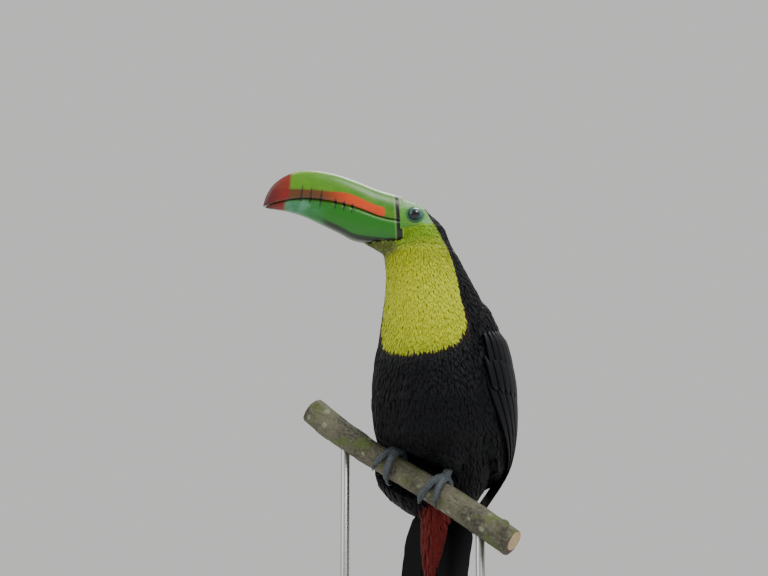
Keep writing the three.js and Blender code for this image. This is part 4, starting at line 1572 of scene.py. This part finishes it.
def half_bill(rows, upper, stations=110, arc=44, flat=12):
    """One jaw in the head's axes, with fine notches along its cutting edge, and its values for the paint."""
    table = curve_through(rows, stations)
    back = np.repeat(table[:1], len(ROOT_STEPS), axis=0)
    inset = np.array(ROOT_STEPS)
    back[:, 0] -= inset[:, 0] / BILL_LENGTH
    back[:, 3] -= inset[:, 1]
    back[:, 1 if upper else 2] -= inset[:, 1] * (1 if upper else -1)
    table = np.vstack([back, table])
    place, top, bottom, half = (column[:, None] for column in table.T)
    line = bottom + MOUTH_GAP if upper else top - MOUTH_GAP
    free = top if upper else bottom
    power = MAXILLA_POWER if upper else MANDIBLE_POWER
    angle = np.pi * np.linspace(0, 1, arc)[None]
    side = half * np.sign(np.cos(angle)) * np.abs(np.cos(angle)) ** power
    up = line + (free - line) * np.abs(np.sin(angle)) ** power
    inner = np.linspace(-1, 1, flat + 2)[None, 1:-1]
    side = np.hstack([side, half * inner])
    up = np.hstack([up, np.broadcast_to(line, (len(table), flat))])
    mouth = np.abs(up - line)
    for notch in NOTCHES:
        near = np.exp(-(((place - notch) * BILL_LENGTH / 0.8) ** 2)) * np.exp(-((mouth / 1.6) ** 2))
        side = side * (1 - 0.05 * near * (np.abs(side) > 0.55 * half))
        up = up + np.sign(free - line) * NOTCH_DEPTH * near
    forward = place * BILL_LENGTH + BILL_SLANT * up * (1 - place)
    points, faces = tube(in_head(np.stack([forward, side, up], axis=-1)))
    reach = np.broadcast_to(place, side.shape)
    values = {"reach": reach, "lift": up, "mouth": mouth, "crest": np.abs(free - up)}
    values = {name: np.append(v.ravel(), [v[0].mean(), v[-1].mean()]) for name, v in values.items()}
    return points, outward(points, faces), values


def make_bill():
    """Both jaws."""
    for node, rows, upper in zip(BILL, (MAXILLA, MANDIBLE), (True, False)):
        points, faces, values = half_bill(rows, upper)
        mesh = mesh_from(node, points, faces)
        for name, value in values.items():
            give(mesh, name, value)
        put(f"{node}_horn", mesh, bill_paint(upper), (node,))


def make_eyes():
    """Both eyeballs, with a low bulge over the pupil."""
    paint = eye_paint()
    for name, side in SIDES.items():
        middle, out, fore, up = eye_frame(side)
        gaze = unit(out + 0.02 * fore + 0.1 * up)
        fore = unit(np.cross(up, gaze)) * side
        up = np.cross(gaze, fore) * side
        turn = np.radians(np.linspace(1.5, 178.5, EYE_RINGS))[:, None]
        spoke = np.linspace(0, 2 * np.pi, EYE_SPOKES, endpoint=False)[None]
        bulge = EYE_RADIUS + 0.25 * np.exp(-((turn / 0.6) ** 2))
        rings = middle + (
            gaze * (bulge * np.cos(turn) * np.ones_like(spoke))[..., None]
            + fore * (bulge * np.sin(turn) * np.cos(spoke))[..., None]
            + up * (bulge * np.sin(turn) * np.sin(spoke))[..., None]
        )
        points, faces = tube(rings)
        mesh = mesh_from(f"eye_{name}", points, outward(points, faces))
        ring = (turn * np.ones_like(spoke)).ravel() / (np.pi / 2)
        give(mesh, "ring", np.append(ring, [0, 2]))
        give(mesh, "spoke_x", np.append(np.tile(np.cos(spoke), (EYE_RINGS, 1)), [0, 0]))
        give(mesh, "spoke_y", np.append(np.tile(np.sin(spoke), (EYE_RINGS, 1)), [0, 0]))
        put(f"eyeball_{name}", mesh, paint, (f"eye_{name}",))


# ---------------------------------------------------------------- feet, perch and stand


def perch_axes():
    """Along the branch, up from it and out to its front."""
    heading, slope = math.radians(PERCH_HEADING), math.radians(PERCH_SLOPE)
    along = np.array(
        (math.cos(heading) * math.cos(slope), math.sin(heading) * math.cos(slope), -math.sin(slope))
    )
    front = unit(np.cross(along, (0.0, 0.0, 1.0)))
    return along, unit(np.cross(front, along)), front


PERCH_AXES = perch_axes()


def at_perch(along, up):
    """A place along the branch and up from its axis."""
    return PERCH_MIDDLE + PERCH_AXES[0] * along + PERCH_AXES[1] * up


def from_perch(points):
    """Along the branch, up from its axis and to its front."""
    return ((points - PERCH_MIDDLE) @ np.array(PERCH_AXES).T).T


def plated(run, length):
    """A row of plates: 0 in the groove between two and 1 on a plate."""
    return np.abs(np.sin(np.pi * run / length)) ** 0.35


def make_legs():
    """Each foot's shank and toes under one plated skin, and its claws."""
    paint = foot_paint()
    for name, foot in FOOT_PLACES.items():
        nodes = [f"shank_{name}"] + [f"toe_{toe}_{name}" for toe in TOES]
        points, faces = merged_shell(nodes, LEG_CELL)
        points = relaxed(points, faces, 8)
        normals = normals_of(points, faces)
        palm = at_perch(foot, PERCH_RADIUS + PALM_RISE)
        leg = unit(np.array(HOCKS[name]) - palm)
        climb = (points - palm) @ leg
        _, up, front = from_perch(points)
        run = np.degrees(np.arctan2(front, up)) * math.radians(PERCH_RADIUS + 3.5)
        toes = plated(run + 0.6 * rippled(points, 6.0, 2.0), TOE_PLATE)
        shank = plated(climb + 0.8 * rippled(points, 7.0, 6.0), SHANK_PLATE)
        above = smooth(6, 9, climb)
        plates = toes * (1 - above) + shank * above
        grain = rippled(points, 0.9, 9.0)
        out = np.hypot(up, front) - PERCH_RADIUS
        lift = (0.3 * (plates - 0.7) + 0.06 * grain) * smooth(0.6, 1.8, out)
        mesh = mesh_from(f"leg_{name}", points + normals * lift[:, None], faces)
        give(mesh, "groove", np.clip(1.15 - 1.3 * plates, 0, 1))
        put(f"leg_skin_{name}", mesh, paint, nodes)
        claws = [f"claw_{toe}_{name}" for toe in TOES]
        mesh = mesh_from("claws", *rounded(claws, 2))
        put(f"claw_horn_{name}", mesh, claw_paint(), claws)


def rounded(names, level):
    """Some solids together, divided and rounded."""
    points, faces = node_arrays(names)
    return modified(points, [faces], {"WELD": {"merge_threshold": 0.00001}, "SUBSURF": {"levels": level}})


def make_perch():
    """The branch: furrowed bark, and smooth cut ends."""
    points, faces = merged_shell(("perch",), PERCH_CELL)
    points = relaxed(points, faces, 6)
    normals = normals_of(points, faces)
    along, up, front = from_perch(points)
    start, end = PERCH_ENDS
    face = np.abs(normals @ PERCH_AXES[0])
    cut = smooth(0.75, 0.9, face) * ((along < start + 3) | (along > end - 3) | (front > 12))
    stretched = np.stack([along * 0.22, up, front], axis=-1)
    coarse = rippled(stretched, 5.0, 1.0)
    fine = rippled(stretched, 1.8, 3.0)
    pits = rippled(points, 3.2, 7.0)
    knots = rippled(points, 17.0, 11.0)
    crack = np.clip(1 - np.abs(coarse) * 5.5, 0, 1) * (0.4 + 0.6 * smooth(-0.2, 0.4, knots))
    relief = settings("stand").relief / MM
    rise = relief * (coarse + 0.44 * fine + 0.8 * knots - 1.1 * crack - smooth(0.35, 0.7, pits))
    foot = np.min([np.abs(along - place) for place in FOOT_PLACES.values()], axis=0)
    rise = rise * (0.35 + 0.65 * smooth(10, 18, foot)) * (1 - cut)
    mesh = mesh_from("perch", points + normals * rise[:, None], faces)
    give(mesh, "furrow", np.clip(crack + 0.5 * smooth(0.35, 0.7, pits), 0, 1))
    give(mesh, "cut", cut)
    middle = np.hypot(up - np.mean(up[cut > 0.9]), front - np.mean(front[cut > 0.9]))
    give(mesh, "ring", np.clip(middle / (PERCH_RADIUS + 1.0), 0, 1))
    put("perch_bark", mesh, bark_paint(), ("perch",))


def put_turned(name, profile, radius, middle, material):
    """A round steel piece of the stand about an upright axis, from rows of how far in and how high."""
    angle = np.linspace(0, 2 * np.pi, TURNED_STEPS, endpoint=False)
    inset, height = np.array(profile).T[:, :, None]
    x = middle[0] + (radius - inset) * np.cos(angle)
    y = middle[1] + (radius - inset) * np.sin(angle)
    points, faces = tube(np.stack([x, y, np.broadcast_to(height, x.shape)], axis=-1))
    put(name, mesh_from(name, points, outward(points, faces)), material, (f"stand_{name}",))


def plate_outline(inset):
    """Points round the stand's base, moved in by a distance."""
    length, width = (size / 2 - inset for size in BASE_SIZE)
    corner = BASE_CORNER - inset
    points = []
    for quarter, (sx, sy) in enumerate(((1, 1), (-1, 1), (-1, -1), (1, -1))):
        for step in np.radians(np.linspace(0, 90, CORNER_STEPS)) + quarter * np.pi / 2:
            x = sx * (length - corner) + corner * math.cos(step)
            y = sy * (width - corner) + corner * math.sin(step)
            points.append((x, y))
    turn = math.radians(PERCH_HEADING)
    spin = np.array(((math.cos(turn), math.sin(turn)), (-math.sin(turn), math.cos(turn))))
    return np.array(points) @ spin


# The base's edge from its foot to its top: how far in, how high
BASE_PROFILE = (
    (1.2, 0.0), (0.4, 0.3), (0.0, 1.2), (0.0, 7.4), (0.3, 8.2), (1.2, 8.5), (1.5, 9.0),
    (1.7, 10.4), (2.6, 12.2), (4.2, 13.4), (6.0, 13.9), (8.0, 14.0), (60.0, 14.0),
)

# The collar's section from its foot in by the rod and over its top: how far in, how high
COLLAR_BORE = COLLAR_RADIUS - ROD_RADIUS - 0.1
COLLAR_PROFILE = (
    (COLLAR_BORE, 0.0), (0.3, 0.0), (0.0, 0.3), (0.0, 1.8), (0.4, 2.2), (2.2, 3.0),
    (3.6, COLLAR_HEIGHT - 0.7), (4.0, COLLAR_HEIGHT), (COLLAR_BORE, COLLAR_HEIGHT),
)


def make_stand():
    """The base with its moulded edge, and the two rods in their collars."""
    rings = [np.insert(plate_outline(inset), 2, height, axis=1) for inset, height in BASE_PROFILE]
    points, faces = tube(np.array(rings))
    mesh = mesh_from("stand_base", points, outward(points, faces))
    put("plinth", mesh, plinth_paint(), ("stand_base",))
    steel = steel_paint()
    for place in ("high", "low"):
        low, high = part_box(f"stand_rod_{place}")
        middle = [(low[i] + high[i]) / 2 / MM for i in (0, 1)]
        bottom, top = low[2] / MM, high[2] / MM
        rod = [(0.0, bottom), (0.0, bottom + 10), (0.0, top - ROD_BEVEL), (ROD_BEVEL, top)]
        put_turned(f"rod_{place}", rod, ROD_RADIUS, middle, steel)
        collar = [(inset, BASE_THICK + height) for inset, height in COLLAR_PROFILE]
        put_turned(f"collar_{place}", collar, COLLAR_RADIUS, middle, steel)


# ---------------------------------------------------------------- stage


def view_back():
    """Unit vector from the target to the camera."""
    turn, rise = settings("stage").turn, settings("stage").rise
    return Vector((math.sin(turn) * math.cos(rise), -math.cos(turn) * math.cos(rise), math.sin(rise)))


def aimed(made, place, target):
    """Puts a camera or a lamp at a place, looking at the target."""
    made.location = place
    made.rotation_euler = (Vector(target) - Vector(place)).to_track_quat("-Z", "Y").to_euler()
    bpy.context.scene.collection.objects.link(made)
    return made


# Lamps: direction from the bird in degrees round and up, distance, size and share of the light
LAMPS = (
    ("key", 70.0, 52.0, 3.0, 1.8, 1.0),
    ("fill", -45.0, 30.0, 3.2, 2.4, 0.35),
    ("back", 190.0, 55.0, 3.0, 1.6, 0.6),
)


def make_stage():
    """Floor, lamps and camera."""
    light = settings("stage").light
    target = Vector(VIEW_TARGET * MM)
    scene = bpy.context.scene
    camera = bpy.data.cameras.new("camera")
    camera.lens, camera.sensor_width = VIEW_LENS, SENSOR
    camera.clip_start, camera.clip_end = 0.05, 20
    place = target + view_back() * settings("stage").distance
    scene.camera = aimed(bpy.data.objects.new("camera", camera), place, target)
    for name, around, above, distance, size, share in LAMPS:
        lamp = bpy.data.lights.new(name, "AREA")
        lamp.shape, lamp.size, lamp.energy = "DISK", size, light * share
        a, e = math.radians(around), math.radians(above)
        way = Vector((math.sin(a) * math.cos(e), -math.cos(a) * math.cos(e), math.sin(e)))
        aimed(bpy.data.objects.new(name, lamp), target + way * distance, target)
    scene.world = bpy.data.worlds.new("studio")
    scene.world.use_nodes = True
    background = scene.world.node_tree.nodes["Background"]
    background.inputs["Color"].default_value = (0.8, 0.8, 0.79, 1)
    background.inputs["Strength"].default_value = 0.8
    corners = FLOOR_REACH * np.array([(-1, -1, 0), (1, -1, 0), (1, 1, 0), (-1, 1, 0)])
    mesh = mesh_from("floor", corners, [np.array([[0, 1, 2, 3]])])
    mesh.materials.append(floor_paint())
    floor = bpy.data.objects.new("floor", mesh)
    scene.collection.objects.link(floor)


# ---------------------------------------------------------------- add-on


def built(maker):
    """Runs one step, and raises an error if it adds nothing to the scene."""
    before = len(bpy.data.objects)
    maker()
    if len(bpy.data.objects) <= before:
        raise RuntimeError(f"{maker.__name__} made nothing")
    return {"FINISHED"}


class TOUCAN_OT_skin(bpy.types.Operator):
    """Build the one skin with its lids and folds"""

    bl_idname = "toucan.skin"
    bl_label = "Skin"
    bl_options = {"REGISTER", "UNDO"}

    def execute(self, context):
        return built(make_skin)


class TOUCAN_OT_coat(bpy.types.Operator):
    """Lay the small feathers over the skin"""

    bl_idname = "toucan.coat"
    bl_label = "Coat"
    bl_options = {"REGISTER", "UNDO"}

    def execute(self, context):
        return built(make_coat)


class TOUCAN_OT_wings(bpy.types.Operator):
    """Lay the flight feathers and their coverts on the folded wings"""

    bl_idname = "toucan.wings"
    bl_label = "Wings"
    bl_options = {"REGISTER", "UNDO"}

    def execute(self, context):
        return built(make_wings)


class TOUCAN_OT_tail(bpy.types.Operator):
    """Stack the tail feathers"""

    bl_idname = "toucan.tail"
    bl_label = "Tail"
    bl_options = {"REGISTER", "UNDO"}

    def execute(self, context):
        return built(make_tail)


class TOUCAN_OT_bill(bpy.types.Operator):
    """Build both jaws"""

    bl_idname = "toucan.bill"
    bl_label = "Bill"
    bl_options = {"REGISTER", "UNDO"}

    def execute(self, context):
        return built(make_bill)


class TOUCAN_OT_eyes(bpy.types.Operator):
    """Build both eyes"""

    bl_idname = "toucan.eyes"
    bl_label = "Eyes"
    bl_options = {"REGISTER", "UNDO"}

    def execute(self, context):
        return built(make_eyes)


class TOUCAN_OT_legs(bpy.types.Operator):
    """Build the legs, toes and claws"""

    bl_idname = "toucan.legs"
    bl_label = "Legs"
    bl_options = {"REGISTER", "UNDO"}

    def execute(self, context):
        return built(make_legs)


class TOUCAN_OT_perch(bpy.types.Operator):
    """Build the branch with its bark and cut ends"""

    bl_idname = "toucan.perch"
    bl_label = "Perch"
    bl_options = {"REGISTER", "UNDO"}

    def execute(self, context):
        return built(make_perch)


class TOUCAN_OT_stand(bpy.types.Operator):
    """Build the base, rods and collars"""

    bl_idname = "toucan.stand"
    bl_label = "Stand"
    bl_options = {"REGISTER", "UNDO"}

    def execute(self, context):
        return built(make_stand)


class TOUCAN_OT_stage(bpy.types.Operator):
    """Set the floor, the lamps and the camera"""

    bl_idname = "toucan.stage"
    bl_label = "Stage"
    bl_options = {"REGISTER", "UNDO"}

    def execute(self, context):
        return built(make_stage)


STEPS = ("skin", "coat", "wings", "tail", "bill", "eyes", "legs", "perch", "stand", "stage")


class VIEW3D_PT_toucan(bpy.types.Panel):
    bl_label = "Toucan"
    bl_idname = "VIEW3D_PT_toucan"
    bl_space_type = "VIEW_3D"
    bl_region_type = "UI"
    bl_category = "Toucan"

    def draw(self, context):
        for name, kind in SETTINGS.items():
            box = self.layout.box()
            for item in kind.__annotations__:
                box.prop(getattr(context.scene, name), item)
        for step in STEPS:
            self.layout.operator(f"toucan.{step}")


CLASSES = (
    *SETTINGS.values(),
    TOUCAN_OT_skin,
    TOUCAN_OT_coat,
    TOUCAN_OT_wings,
    TOUCAN_OT_tail,
    TOUCAN_OT_bill,
    TOUCAN_OT_eyes,
    TOUCAN_OT_legs,
    TOUCAN_OT_perch,
    TOUCAN_OT_stand,
    TOUCAN_OT_stage,
    VIEW3D_PT_toucan,
)


def register():
    for item in CLASSES:
        bpy.utils.register_class(item)
    for name, kind in SETTINGS.items():
        setattr(bpy.types.Scene, name, PointerProperty(type=kind))


def unregister():
    for name in SETTINGS:
        delattr(bpy.types.Scene, name)
    for item in reversed(CLASSES):
        bpy.utils.unregister_class(item)


def main():
    """Builds everything."""
    register()
    for step in STEPS:
        if getattr(bpy.ops.toucan, step)() != {"FINISHED"}:
            raise RuntimeError(f"the step {step} didn't finish")


if __name__ == "__main__":
    main()
